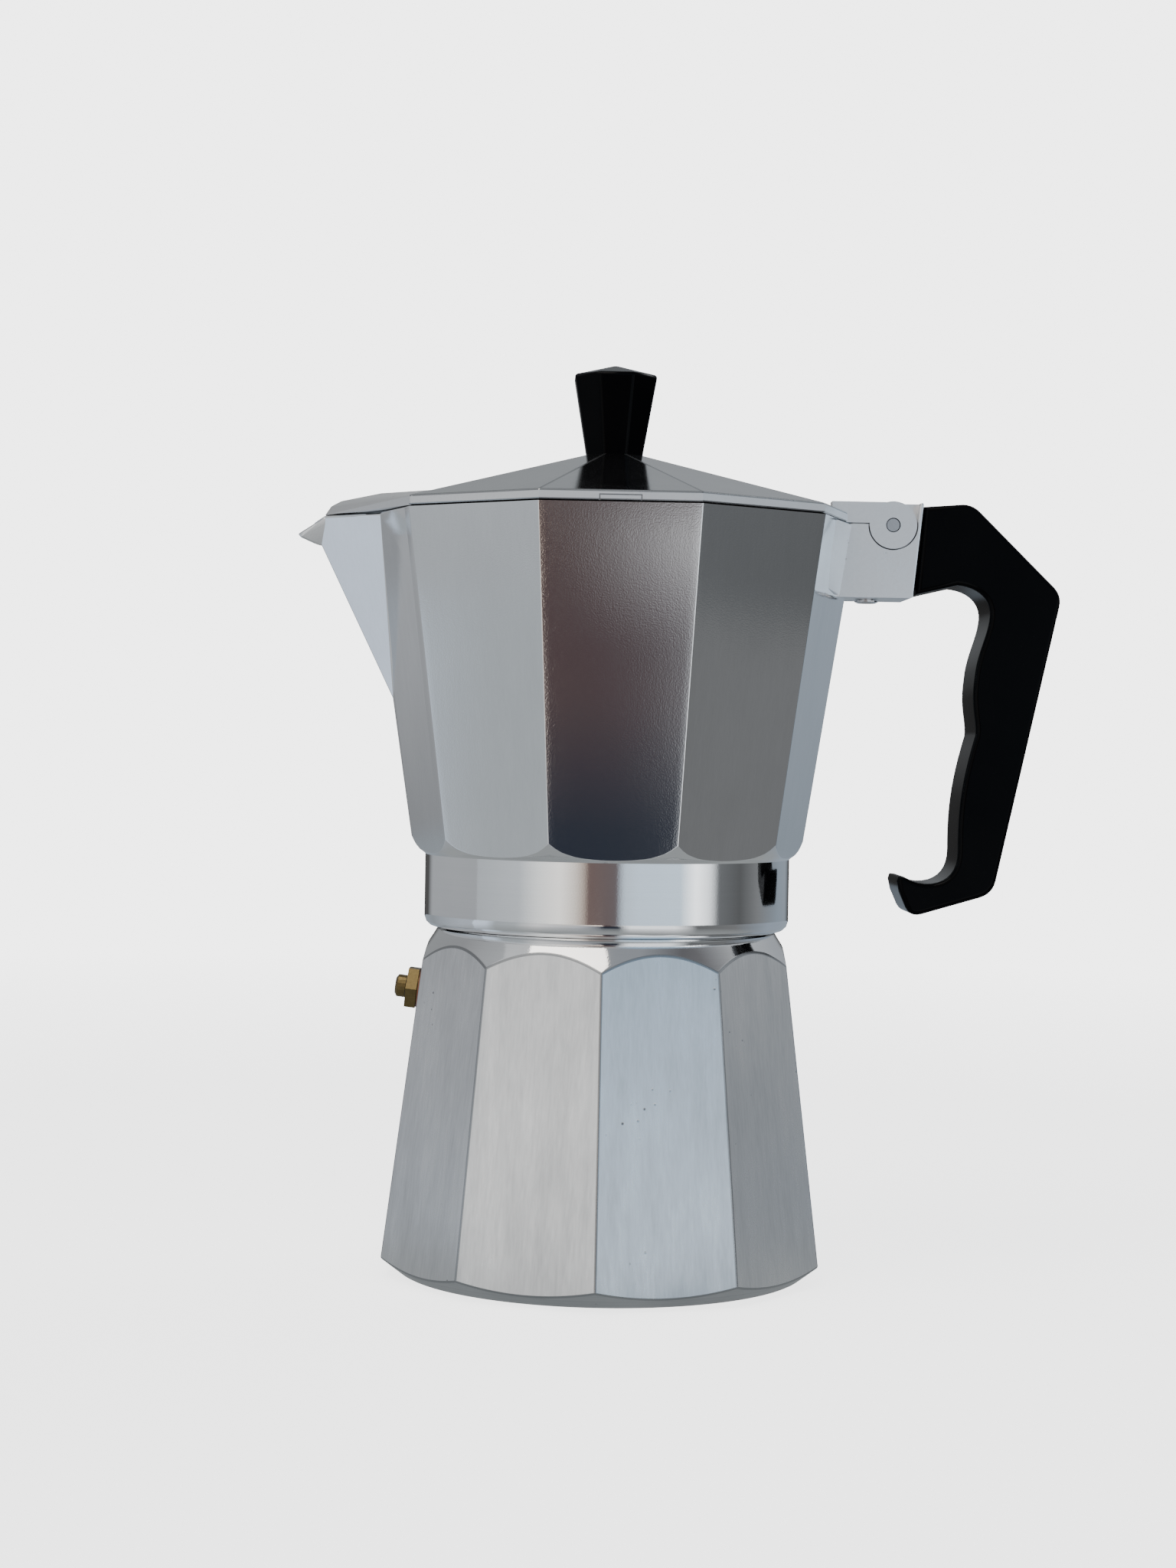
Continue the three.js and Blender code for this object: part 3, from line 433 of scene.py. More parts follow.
stood = add_node(handling, "ShaderNodeTexNoise", {"Vector": knob["Place"], "Scale": 75.0, "Detail": 2.0})
where = span(handling, stood.outputs["Fac"], 0.62, 0.70, 0, 1)
cell_draw = add_node(handling, "ShaderNodeSeparateXYZ", {"Vector": cells.outputs["Color"]}).outputs["X"]
rare = calc(handling, "MULTIPLY", span(handling, cell_draw, 0.45, 0.5, 0, 1), knob["Pitting"])
pits = calc(handling, "MULTIPLY", calc(handling, "MULTIPLY", dots, where), rare)
handling.links.new(span(handling, clouds.outputs["Fac"], 0.3, 0.7, 0, 1), out["Clouds"])
handling.links.new(span(handling, grain.outputs["Fac"], 0.3, 0.7, 0, 1), out["Grain"])
handling.links.new(pits, out["Pits"])
print("group made:", handling.name)

# %% [markdown]
# ## Finishes
# One recipe serves every metal: a base tone that clouds and lines push lighter or darker, a roughness
# that they push up or down, and a shallow bump from the same lines. A finish then only names its tones,
# which group draws its lines, and how deep they are.
# %% Recipe for a metal finish


def finish_base(name):
    finish = bpy.data.materials.new(name)
    finish.use_nodes = True
    tree = finish.node_tree
    shader = tree.nodes["Principled BSDF"]
    place = add_node(tree, "ShaderNodeTexCoord").outputs["Object"]
    return finish, tree, shader, place


PIT_DEPTH = 0.00006
PIT_SHADE = 0.18  # of the dark tone


def metal(name, tone, dark, rough, lines=None, depth=0.0, grain=4200.0, grain_depth=0.0,
          pitting=0.0, cloud_share=0.5, across=2400.0, along=25.0):
    """A metal: tone and dark are its colours, rough its lowest and highest roughness, depth in metres."""
    finish, tree, shader, place = finish_base(name)
    marks = add_group(tree, handling, {"Place": place, "Grain": grain, "Pitting": pitting})
    mask = calc(tree, "MULTIPLY", marks["Clouds"], cloud_share)
    relief = calc(tree, "MULTIPLY", marks["Grain"], grain_depth)
    if lines is brushed_lines:
        drawn = add_group(tree, lines, {"Place": place, "Across": across, "Along": along})
        line, broad = drawn["Lines"], drawn["Broad"]
    elif lines is lathe_rings:
        drawn = add_group(tree, lines, {"Place": place, "Fineness": across})
        line, broad = drawn["Rings"], drawn["Bands"]
    else:
        line, broad = marks["Grain"], marks["Clouds"]
    mask = calc(tree, "ADD", mask, calc(tree, "MULTIPLY", broad, (1 - cloud_share) * 0.5))
    mask = calc(tree, "ADD", mask, calc(tree, "MULTIPLY", line, (1 - cloud_share) * 0.5))
    relief = calc(tree, "ADD", relief, calc(tree, "MULTIPLY", line, depth))
    relief = calc(tree, "SUBTRACT", relief, calc(tree, "MULTIPLY", marks["Pits"], PIT_DEPTH))
    colour = blend(tree, mask, dark, tone)
    colour = blend(tree, marks["Pits"], colour, tuple(PIT_SHADE * c for c in dark))
    tree.links.new(colour, shader.inputs["Base Color"])
    tree.links.new(span(tree, mask, 0, 1, rough[1], rough[0]), shader.inputs["Roughness"])
    shader.inputs["Metallic"].default_value = 1
    bump = add_node(tree, "ShaderNodeBump", {"Height": relief, "Strength": 1.0, "Distance": 1.0})
    tree.links.new(bump.outputs["Normal"], shader.inputs["Normal"])
    return finish


print("recipe ready")

# %% Aluminium in its states
brushed_wall = metal("brushed_aluminium", (0.95, 0.955, 0.96), (0.64, 0.65, 0.66), (0.24, 0.34),
                     brushed_lines, depth=0.0000035, pitting=1.0, cloud_share=0.35, across=1700.0, along=18.0)
satin_wall = metal("satin_aluminium", (0.90, 0.905, 0.91), (0.80, 0.805, 0.81), (0.05, 0.095),
                   brushed_lines, depth=0.0000010, grain=3400.0, grain_depth=0.0000024, along=60.0)
polished_turn = metal("polished_turned_aluminium", (0.92, 0.925, 0.93), (0.82, 0.825, 0.83), (0.04, 0.08),
                      lathe_rings, depth=0.0000004, grain=3000.0, grain_depth=0.0000014, across=1800.0)
turned_foot = metal("turned_foot_aluminium", (0.62, 0.63, 0.64), (0.46, 0.47, 0.48), (0.28, 0.42),
                    lathe_rings, depth=0.000004, across=1500.0, pitting=1.0)
# A darker tone along the rounded edges between flats and on the lid; in the lid's tab grooves the same tone
# is painted shade.
dark_edge = metal("dark_edge_aluminium", (0.46, 0.47, 0.48), (0.34, 0.35, 0.36), (0.22, 0.34))
worn_edge = metal("worn_edge_aluminium", (0.93, 0.935, 0.94), (0.82, 0.825, 0.83), (0.10, 0.20))
cast_skin = metal("cast_aluminium_skin", (0.97, 0.975, 0.98), (0.84, 0.85, 0.86), (0.30, 0.46),
                  depth=0.000008, grain=1500.0, pitting=0.6)
cast_inside = metal("cast_inside_aluminium", (0.74, 0.75, 0.76), (0.52, 0.53, 0.54), (0.38, 0.55),
                    depth=0.000010, grain=900.0, pitting=1.0)
polished_lid = metal("polished_lid_aluminium", (0.82, 0.825, 0.83), (0.70, 0.705, 0.71), (0.07, 0.15),
                     brushed_lines, depth=0.0000005, grain=3000.0, grain_depth=0.0000006, along=300.0)
spun_sheet = metal("spun_sheet_aluminium", (0.80, 0.80, 0.81), (0.66, 0.67, 0.68), (0.26, 0.40),
                   lathe_rings, depth=0.000003, across=900.0)
print("aluminium finishes:", sum("aluminium" in m.name for m in bpy.data.materials))

# %% Brass, steel, rubber and plastic
brass = metal("tarnished_brass", (0.28, 0.205, 0.085), (0.10, 0.075, 0.035), (0.24, 0.46),
              depth=0.000004, grain=1800.0, pitting=0.5)
steel = metal("bright_steel", (0.62, 0.62, 0.63), (0.48, 0.48, 0.49), (0.18, 0.32),
              lathe_rings, depth=0.000001, across=3000.0)


def soft_skin(name, tone, dark, rough, grain, depth, shine=0.5):
    """Rubber, fibre or plastic: no metal in it, a faint change of tone and a moulded grain."""
    finish, tree, shader, place = finish_base(name)
    marks = add_group(tree, handling, {"Place": place, "Grain": grain, "Pitting": 0.0})
    tree.links.new(blend(tree, marks["Clouds"], dark, tone), shader.inputs["Base Color"])
    tree.links.new(span(tree, marks["Clouds"], 0, 1, rough[0], rough[1]), shader.inputs["Roughness"])
    bump = add_node(tree, "ShaderNodeBump", {"Height": calc(tree, "MULTIPLY", marks["Grain"], depth),
                                             "Strength": 1.0, "Distance": 1.0})
    tree.links.new(bump.outputs["Normal"], shader.inputs["Normal"])
    shader.inputs["Specular IOR Level"].default_value = shine
    return finish


black_plastic = soft_skin("glossy_black_plastic", (0.0025, 0.0025, 0.003), (0.001, 0.001, 0.0015),
                          (0.13, 0.20), 700.0, 0.0000025, 0.05)
silicone = soft_skin("white_silicone", (0.74, 0.72, 0.66), (0.62, 0.60, 0.54), (0.45, 0.60), 1200.0, 0.000004)
fibre = soft_skin("red_fibre", (0.30, 0.09, 0.05), (0.20, 0.06, 0.035), (0.60, 0.75), 1600.0, 0.00001)
print("finishes made:", len(bpy.data.materials) - 1)

# %% [markdown]
# ## Shaping tools
# A pot is mostly turned and milled. A chain of points spun round the axis gives the turned body; its
# vertices remember which point of the chain they came from, so a later step can find a whole ring.
# Milling moves chosen rings so that each vertex stands where a rule puts it for its angle, on a flat or on
# the turned curve it meets. Solids are then joined and cut with the Boolean modifier, all in millimetres, and
# only the finished piece is scaled to metres.
# %% Turn, draw and combine
ROUND = 200


def spin_chain(chain, steps=ROUND):
    """Spin a chain of (radius, height) points a full turn round the pot's axis, ring numbers kept."""
    bm = bmesh.new()
    ring = bm.verts.layers.int.new("ring")
    verts = []
    for number, (radius, height) in enumerate(chain):
        vert = bm.verts.new((radius, 0, height))
        vert[ring] = number
        verts.append(vert)
    edges = [bm.edges.new(ends) for ends in zip(verts, verts[1:])]
    bmesh.ops.spin(bm, geom=verts + edges, cent=(0, 0, 0), axis=(0, 0, 1), dvec=(0, 0, 0),
                   angle=2 * math.pi, steps=steps, use_merge=True, use_duplicate=False)
    bmesh.ops.remove_doubles(bm, verts=bm.verts, dist=1e-4)
    bmesh.ops.recalc_face_normals(bm, faces=bm.faces)
    return bm


def hull_of(points):
    """The tight skin round a few points."""
    bm = bmesh.new()
    verts = [bm.verts.new(p) for p in points]
    bmesh.ops.convex_hull(bm, input=verts)
    loose = [v for v in bm.verts if not v.link_faces]
    bmesh.ops.delete(bm, geom=loose, context="VERTS")
    bmesh.ops.dissolve_limit(bm, angle_limit=math.radians(0.5), verts=bm.verts, edges=bm.edges)
    bmesh.ops.recalc_face_normals(bm, faces=bm.faces)
    return bm


def slab_of(outline, half):
    """A side outline of (x, z) points given a thickness along Y."""
    bm = bmesh.new()
    face = bm.faces.new([bm.verts.new((x, -half, z)) for x, z in outline])
    pushed = bmesh.ops.extrude_face_region(bm, geom=[face])["geom"]
    moved = [v for v in pushed if isinstance(v, bmesh.types.BMVert)]
    bmesh.ops.translate(bm, vec=(0, 2 * half, 0), verts=moved)
    bmesh.ops.recalc_face_normals(bm, faces=bm.faces)
    return bm


def rod(radius, start, end, segments=48):
    """A round bar from one point to another."""
    bm = bmesh.new()
    start, end = Vector(start), Vector(end)
    turn = (end - start).to_track_quat("Z", "Y").to_matrix().to_4x4()
    bmesh.ops.create_cone(bm, cap_ends=True, segments=segments, radius1=radius, radius2=radius,
                          depth=(end - start).length, matrix=Matrix.Translation((start + end) / 2) @ turn)
    return bm


def brick(low_corner, high_corner):
    """A box between two corners."""
    bm = bmesh.new()
    lower, upper = Vector(low_corner), Vector(high_corner)
    bmesh.ops.create_cube(bm, size=1, matrix=Matrix.Translation((lower + upper) / 2)
                          @ Matrix.Diagonal((*(upper - lower), 1)))
    return bm


def soften(bm, edges, width, segments=2, finish=None):
    """Round a set of edges, and give the new faces their own finish."""
    made = bmesh.ops.bevel(bm, geom=list(edges), offset=width, offset_type="OFFSET", segments=segments,
                           profile=0.5, affect="EDGES", material=-1, clamp_overlap=True, loop_slide=True)
    if finish is not None:
        for face in made["faces"]:
            face.material_index = finish
    return bm


def creases(bm, degrees):
    """Edges that turn by more than an angle."""
    limit = math.radians(degrees)
    return [e for e in bm.edges if len(e.link_faces) == 2 and e.calc_face_angle(0) > limit]


def paint(bm, number):
    for face in bm.faces:
        face.material_index = number
    return bm


def bench_object(bm, materials):
    mesh = bpy.data.meshes.new("bench")
    bm.to_mesh(mesh)
    bm.free()
    for _ in range(materials):
        mesh.materials.append(None)
    return bpy.data.objects.new("bench", mesh)


def combine(base, tools, how, materials=6):
    """Join, cut or trim a solid by others with one Boolean modifier, and hand back the result."""
    shelf = bpy.data.collections.new("shelf")
    bpy.context.scene.collection.children.link(shelf)
    held = bench_object(base, materials)
    bpy.context.scene.collection.objects.link(held)
    for tool in tools:
        shelf.objects.link(bench_object(tool, materials))
    cutter = held.modifiers.new("cutter", "BOOLEAN")
    cutter.operation = how
    cutter.operand_type = "COLLECTION"
    cutter.collection = shelf
    cutter.solver = "EXACT"
    bpy.context.view_layer.update()
    result = bmesh.new()
    result.from_object(held, bpy.context.evaluated_depsgraph_get())
    bmesh.ops.remove_doubles(result, verts=result.verts, dist=1e-4)
    bmesh.ops.dissolve_degenerate(result, edges=result.edges, dist=1e-4)
    for spare in [held, *shelf.objects]:
        bpy.data.objects.remove(spare)
    bpy.data.collections.remove(shelf)
    return result


def set_down(bm, name, finishes, body, nodes, crease=35):
    """Scale a finished solid to metres, give it its finishes, and let it ride on its body."""
    bmesh.ops.scale(bm, vec=(MM, MM, MM), verts=bm.verts)
    mesh = bpy.data.meshes.new(name)
    bm.to_mesh(mesh)
    bm.free()
    for finish in finishes:
        mesh.materials.append(finish)
    mesh.polygons.foreach_set("use_smooth", [True] * len(mesh.polygons))
    mesh.set_sharp_from_angle(angle=math.radians(crease))
    piece = bpy.data.objects.new(name, mesh)
    bpy.context.scene.collection.objects.link(piece)
    even = piece.modifiers.new("even_shading", "WEIGHTED_NORMAL")
    even.keep_sharp = True
    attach(piece, body)
    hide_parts(*nodes)
    print(f"{name}: {len(mesh.polygons)} faces")


# %% Mill ten flats


def flat_reach(angle, corner_radius):
    """How far out a ten-sided outline lies at an angle, with a corner at angle zero."""
    return corner_radius * FLAT / math.cos((angle % FACET) - FACET / 2)


def meeting_height(angle, corner_at, radius_at, lower, upper):
    """Height at which a flat and a turned profile stand equally far out, found by halving."""
    def gap(height):
        return flat_reach(angle, corner_at(height)) - radius_at(height)
    rising = gap(upper) > gap(lower)
    for _ in range(40):
        middle = (lower + upper) / 2
        if (gap(middle) > 0) == rising:
            upper = middle
        else:
            lower = middle
    return (lower + upper) / 2


def ring_faces(bm, first, last):
    """Faces between two rings of a spun chain."""
    ring = bm.verts.layers.int["ring"]
    wanted = set(range(first, last + 1))
    return [f for f in bm.faces if {v[ring] for v in f.verts} <= wanted]


def ring_edges(bm, number):
    ring = bm.verts.layers.int["ring"]
    return [e for e in bm.edges if all(v[ring] == number for v in e.verts)]


def corner_edges(bm, first, last):
    """Upright edges where two flats meet."""
    ring = bm.verts.layers.int["ring"]

    def on_corner(vert):
        off = math.atan2(vert.co.y, vert.co.x) % FACET
        return min(off, FACET - off) < 1e-3
    return [e for e in bm.edges
            if all(first <= v[ring] <= last and on_corner(v) for v in e.verts)
            and e.verts[0][ring] != e.verts[1][ring]]


def set_rings(bm, numbers, place):
    """Move each vertex of some rings to the (radius, height) that a rule gives for its angle."""
    ring = bm.verts.layers.int["ring"]
    for vert in bm.verts:
        if vert[ring] in numbers:
            angle = math.atan2(vert.co.y, vert.co.x)
            radius, height = place(vert[ring], angle)
            vert.co = (radius * math.cos(angle), radius * math.sin(angle), height)


def follow(points, height):
    """Radius of a turned profile at a height, along straight runs between (radius, height) points."""
    for (r0, z0), (r1, z1) in zip(points, points[1:]):
        if z0 <= height <= z1:
            return r0 + (r1 - r0) * (height - z0) / (z1 - z0)
    return points[-1][0] if height > points[-1][1] else points[0][0]


print("bench ready")

# %% [markdown]
# ## Boiler
# The boiler is cast, turned at its foot, shoulder and neck, and milled with ten flats in between. Where
# a flat runs out into the turned foot or shoulder it ends in an arc, and that arc is worked out for each
# column of vertices, so that the edge runs along it and can be rounded cleanly.
# %% Boiler sizes
foot_corner = 50.4
neck_seat = 75.2
neck_top = high("boiler").z
boiler_taper = 0.12766
boiler_turn = math.radians(-92.7)
neck_root = 34.0
neck_bore = 30.3
base_ring = 44.7
wall_floor = 3.0
boiler_wall = 2.6
foot_bevel = 4.6  # height that the turned bevel would reach at the corners
shoulder_seat = 37.4
shoulder_low = 67.2
shoulder_rim = 42.72


def boiler_corner(height):
    return foot_corner - boiler_taper * height


def foot_cone(height):
    """Turned bevel round the foot."""
    return base_ring + (foot_corner + 0.3 - base_ring) * height / foot_bevel


def shoulder(height):
    """Turned dome between the flats and the neck."""
    rise = min(max((height - shoulder_low) / (neck_seat - shoulder_low), 0), 1)
    return shoulder_seat + (shoulder_rim - shoulder_seat) * (1 - rise) ** 1.06


print("boiler corner at the shoulder", round(boiler_corner(shoulder_low), 2), "mm")

# %% Turn and mill the boiler
wall_foot = boiler_corner(wall_floor) * FLAT - boiler_wall
wall_top = boiler_corner(shoulder_low) * FLAT - boiler_wall
DOME = 9  # rings over the shoulder
boiler_chain = [(0, 0.7), (37.6, 0.7), (38.6, 0), (base_ring, 0), (49, 3), (48, 12), (46, 60), (44, 70)]
first_dome = len(boiler_chain)
boiler_chain += [(42 - 0.4 * k, 71 + 0.45 * k) for k in range(DOME)]
last_dome = len(boiler_chain) - 1
boiler_chain += [
    (neck_root, neck_seat), (neck_root, neck_top - 0.7), (neck_root - 0.7, neck_top),
    (neck_bore + 0.5, neck_top), (neck_bore, neck_top - 0.5), (neck_bore, neck_seat + 0.6),
    (wall_top - 3.6, shoulder_low + 5.6), (wall_top, shoulder_low), (wall_foot - 0.3, 7),
    (wall_foot - 1.5, 4.2), (wall_foot - 4, wall_floor), (0, wall_floor),
]
boiler_bm = spin_chain(boiler_chain)


def boiler_place(number, angle):
    lower = meeting_height(angle, boiler_corner, foot_cone, 0.5, 6)
    upper = meeting_height(angle, boiler_corner, shoulder, 64, neck_seat)
    if number <= 7:
        height = {4: lower, 5: lower + 9, 6: upper - 9, 7: upper}[number]
        return flat_reach(angle, boiler_corner(height)), height
    share = (number - first_dome + 1) / DOME
    height = upper + (neck_seat - upper) * share
    return shoulder(height), height


set_rings(boiler_bm, range(4, last_dome + 1), boiler_place)
WALL, TURNED, FOOT, EDGE, INSIDE = range(5)
paint(boiler_bm, INSIDE)
for number, (first, last) in {WALL: (4, 7), TURNED: (7, last_dome + 5), FOOT: (2, 4)}.items():
    for face in ring_faces(boiler_bm, first, last):
        face.material_index = number
soften(boiler_bm, corner_edges(boiler_bm, 4, 7) + ring_edges(boiler_bm, 4) + ring_edges(boiler_bm, 7),
       0.32, 2, EDGE)
soften(boiler_bm, ring_edges(boiler_bm, 3), 0.5, 2)
print("boiler turned and milled:", len(boiler_bm.faces), "faces")

# %% [markdown]
# ## Screw thread
# A thread is a small section spun round the axis while it climbs. The spin operator takes the climb as
# a step for each segment, which saves any sum of our own.
# %% Thread and valve hole


def thread(radius, foot, turns=2.25, pitch=4.0, ridge=1.1, per_turn=64):
    bm = bmesh.new()
    stand = Matrix.Translation((radius, 0, foot)) @ Matrix.Rotation(math.pi / 2, 4, "X")
    made = bmesh.ops.create_circle(bm, cap_ends=False, segments=10, radius=ridge, matrix=stand)
    steps = round(turns * per_turn)
    bmesh.ops.spin(bm, geom=made["verts"] + list(bm.edges), cent=(0, 0, 0), axis=(0, 0, 1),
                   dvec=(0, 0, pitch / per_turn), angle=turns * 2 * math.pi, steps=steps,
                   use_merge=False, use_duplicate=False)
    open_ends = [e for e in bm.edges if e.is_boundary]
    bmesh.ops.holes_fill(bm, edges=open_ends, sides=0)
    bmesh.ops.recalc_face_normals(bm, faces=bm.faces)
    return bm


valve_height = 61.3
valve_tilt = math.atan(boiler_taper * FLAT)
valve_turn = Matrix.Rotation(boiler_turn + math.pi / 2, 3, "Z")
valve_out = valve_turn @ Vector((-math.cos(valve_tilt), 0, math.sin(valve_tilt)))
valve_seat_at = valve_turn @ Vector((-boiler_corner(valve_height) * FLAT, 0, valve_height))
bmesh.ops.rotate(
    boiler_bm, cent=(0, 0, 0), matrix=Matrix.Rotation(boiler_turn, 3, "Z"), verts=boiler_bm.verts)
boiler_bm = combine(boiler_bm, [paint(thread(neck_root - 0.1, neck_seat + 2.6), TURNED)], "UNION")
valve_bore = rod(3.9, valve_seat_at - 8.6 * valve_out, valve_seat_at + 4 * valve_out, 32)
boiler_bm = combine(boiler_bm, [paint(valve_bore, INSIDE)], "DIFFERENCE")
set_down(boiler_bm, "boiler_casting",
         [brushed_wall, polished_turn, turned_foot, dark_edge, cast_inside],
         "boiler", ["boiler"], crease=30)

# %% [markdown]
# ## Collecting chamber
# The chamber is one casting: a turned collar, a ten-sided cup that widens upwards, a wedge-shaped spout
# and a bracket for the hinge and the handle. The outside is made first and joined, and only then is the
# inside cut away, so that the spout opens into the cup.
# %% Chamber sizes
gasket_top = high("gasket").z
seat = low("filter_plate").z
rim_corner = 54.15
rim = 165.5
cup_floor = seat + 3.9
chamber_foot = seat + 1.5
collar = 40.3
collar_low = low("collecting_chamber").z
collar_bore = 35.6
chamber_taper = (rim_corner - (collar + 3)) / (rim - chamber_foot)
column_top = rim - 15.5
pin = (high("hinge_pin") + low("hinge_pin")) / 2


def chamber_corner(height):
    return rim_corner - chamber_taper * (rim - height)


collar_line = [
    (37.7, collar_low), (39.1, collar_low + 0.45), (39.9, collar_low + 1.2), (collar, collar_low + 2.4),
    (collar, collar_low + 3.2), (collar, seat - 1.9), (collar, seat - 1.1), (collar + 0.3, seat - 0.8),
]
foot_line = [(collar + 0.3, seat - 0.8), (collar + 1.3, seat - 0.1), (collar + 2.3, seat + 1.1),
             (collar + 3.2, seat + 2.8), (rim_corner + 20, seat + 14)]
print("cup corner at the rim", rim_corner, "mm, collar", collar, "mm")

# %% Turn and mill the cup
cup_chain = [(0, collar_low), *collar_line]
foot_ring = len(cup_chain)
cup_chain += [(41, 92.2), (42, 93.6), (44, 96), (50, 130), (53, 160), (rim_corner, rim), (0, rim)]
cup_bm = spin_chain(cup_chain)


def cup_place(number, angle):
    meet = meeting_height(angle, chamber_corner, lambda h: follow(foot_line, h), seat - 0.7, seat + 8)
    start = seat - 0.8
    step = number - foot_ring
    if step < 2:
        height = start + (meet - start) * (step + 1) / 3
        return follow(foot_line, height), height
    height = {2: meet, 3: meet + 9, 4: rim - 6, 5: rim}[step]
    return flat_reach(angle, chamber_corner(height)), height


set_rings(cup_bm, range(foot_ring, foot_ring + 6), cup_place)
paint(cup_bm, WALL)
for face in ring_faces(cup_bm, 0, foot_ring + 2):
    face.material_index = TURNED
cup_edges = corner_edges(cup_bm, foot_ring + 2, foot_ring + 5) + ring_edges(cup_bm, foot_ring + 2)
soften(cup_bm, cup_edges, 0.3, 2, EDGE)
print("cup turned and milled:", len(cup_bm.faces), "faces")

# %% [markdown]
# ## Spout
# The spout is folded out of the two flats beside its keel. A hull round its few corners gives the wedge,
# a second, smaller hull is kept back to hollow it, and a rounded beak finishes the lip.
# %% Spout wedge and beak
spout_tip = -low("collecting_chamber").x
keel_foot = rim - 40.6
cover_end = -low("lid").x
spout_half = 14.0
flank_drop = 14.0
keel_back = 1.85  # from the spout's tip to the keel's upper end


def both(x, y, z):
    return [(x, y, z), (x, -y, z)]


def side_corner(height):
    return Vector((math.cos(FACET), math.sin(FACET), 0)) * chamber_corner(height)


def rim_flat(y, height):
    return chamber_corner(height) - y * math.tan(FACET / 2)


def keel(height):
    run = spout_tip - keel_back - chamber_corner(keel_foot)
    return chamber_corner(keel_foot) + run * (height - keel_foot) / (rim - keel_foot)


spout_root = rim_flat(spout_half, rim) + 1.2


def spout_wedge(inset, over):
    """The two side panels of the spout."""
    top = rim + over + 0.001
    crease = spout_root - inset * 1.2
    return hull_of([
        (-(chamber_corner(keel_foot) - inset * 1.4), 0, keel_foot + inset),
        (-(keel(rim) - inset * 1.7), 0, rim),
        (-(keel(rim) - inset * 1.7), 0, top),
        *both(-crease, spout_half - inset, rim),
        *both(-crease, spout_half - inset, top),
        *both(3 - crease, spout_half - inset, rim),
        *both(3 - crease, spout_half - inset, top),
    ])


def flank(side):
    """The raised run of wall between a side panel and the next corner of the cup."""
    upper, lower = side_corner(rim), side_corner(rim - flank_drop)
    return hull_of([
        (0.2 - chamber_corner(keel_foot), 0, keel_foot + 0.4),
        (-spout_root, side * spout_half, rim),
        (3 - spout_root, side * spout_half, rim),
        (0.2 - upper.x, side * (upper.y - 0.2), rim),
        (2 - upper.x, side * (upper.y - 2), rim),
        (0.2 - lower.x, side * (lower.y - 0.2), rim - flank_drop),
    ])


def beak():
    bm = hull_of([
        (-(spout_tip - 5.6), 0, rim - 6.8),
        *both(-(spout_tip - 0.6), 0.9, rim - 4.6),
        *both(-spout_tip, 0.8, rim - 3.9),
        *both(-(cover_end + 0.2), 3.4, rim - 0.4),
        *both(-(cover_end - 3), 3.8, rim - 0.4),
    ])
    return soften(bm, creases(bm, 12), 0.35, 3)


beak_slope = slab_of([
    (-(cover_end - 0.1), rim), (-(cover_end - 0.1), rim + 12), (-(spout_tip + 8), rim + 12),
    (-(spout_tip + 8), rim - 3.5), (-spout_tip, rim - 3.5),
], 12)
beak_channel = hull_of([(-(spout_tip - 9), 0, rim - 6.4), (-(spout_tip + 1), 0, rim - 3.3),
                        *both(-(spout_tip - 9), 2.6, rim + 3), *both(-(spout_tip + 1), 0.7, rim + 3)])
wedge = spout_wedge(0, 0)
front_creases = [e for e in creases(wedge, 12) if min(v.co.x for v in e.verts) < -rim_corner]
wedge = soften(wedge, front_creases, 0.6, 3)
print("spout stands", round(spout_tip - rim_corner, 1), "mm past the rim")

# %% [markdown]
# ## Hinge and handle bracket
# The bracket is a block behind the rim. It holds the handle's tenon in a socket and the lid's hinge pin
# across its top, between two round seats for the lid's ears.
# %% Bracket
bracket_half = 9.0
bracket_foot = rim - 16
ear_inner = 5.0
knuckle = 5.2
wall_top_z = pin.z + 5.0


def bracket_end(height):
    return rim_corner + 13.2 - 1.6 * (rim - height) / 16


slab = slab_of([(rim_corner - 7, bracket_foot), (bracket_end(bracket_foot), bracket_foot),
                (bracket_end(wall_top_z), wall_top_z), (bracket_end(wall_top_z) - 0.9, wall_top_z),
                (bracket_end(rim) - 0.9, rim), (rim_corner - 7, rim)], bracket_half)
soften(slab, [e for e in creases(slab, 20) if min(v.co.x for v in e.verts) > rim_corner - 6], 0.45, 2)
tongue = ear_inner - 0.4
knuckle_bar = rod(knuckle, (pin.x, -tongue, pin.z), (pin.x, tongue, pin.z))
heel = slab_of([(pin.x, rim - 4), (bracket_end(rim - 4) - 0.1, rim - 4),
                (bracket_end(wall_top_z) - 0.1, wall_top_z), (pin.x, wall_top_z)], tongue)


def flare(side):
    """Web that blends the bracket's cheek into the cup."""
    upper, lower = side_corner(rim), side_corner(bracket_foot)
    top_x, low_x = rim_flat(bracket_half, rim), rim_flat(bracket_half, bracket_foot)
    top_z, low_z, cheek_z = rim - 0.05, bracket_foot + 2.2, bracket_foot + 0.2
    bm = hull_of([
        (upper.x - 0.4, side * (upper.y - 0.6), top_z),
        (lower.x - 0.4, side * (lower.y - 0.6), low_z),
        (top_x + 0.9, side * (bracket_half - 0.5), top_z),
        (low_x + 0.9, side * (bracket_half - 0.5), cheek_z),
        (upper.x - 2, side * (upper.y - 2), top_z),
        (lower.x - 1.6, side * (lower.y - 2), low_z),
        (top_x - 1.2, side * (bracket_half - 1), top_z),
        (low_x - 1.2, side * (bracket_half - 1), cheek_z),
    ])
    return soften(bm, creases(bm, 25), 0.3, 2)


socket_x = chamber_corner(bracket_foot) + 0.4
socket_z = bracket_foot + 2.4
screw_x = (high("handle_screw").x + low("handle_screw").x) / 2
pin_hole = 1.6


def pin_bore():
    return rod(pin_hole, (pin.x, -12, pin.z), (pin.x, 12, pin.z), 24)


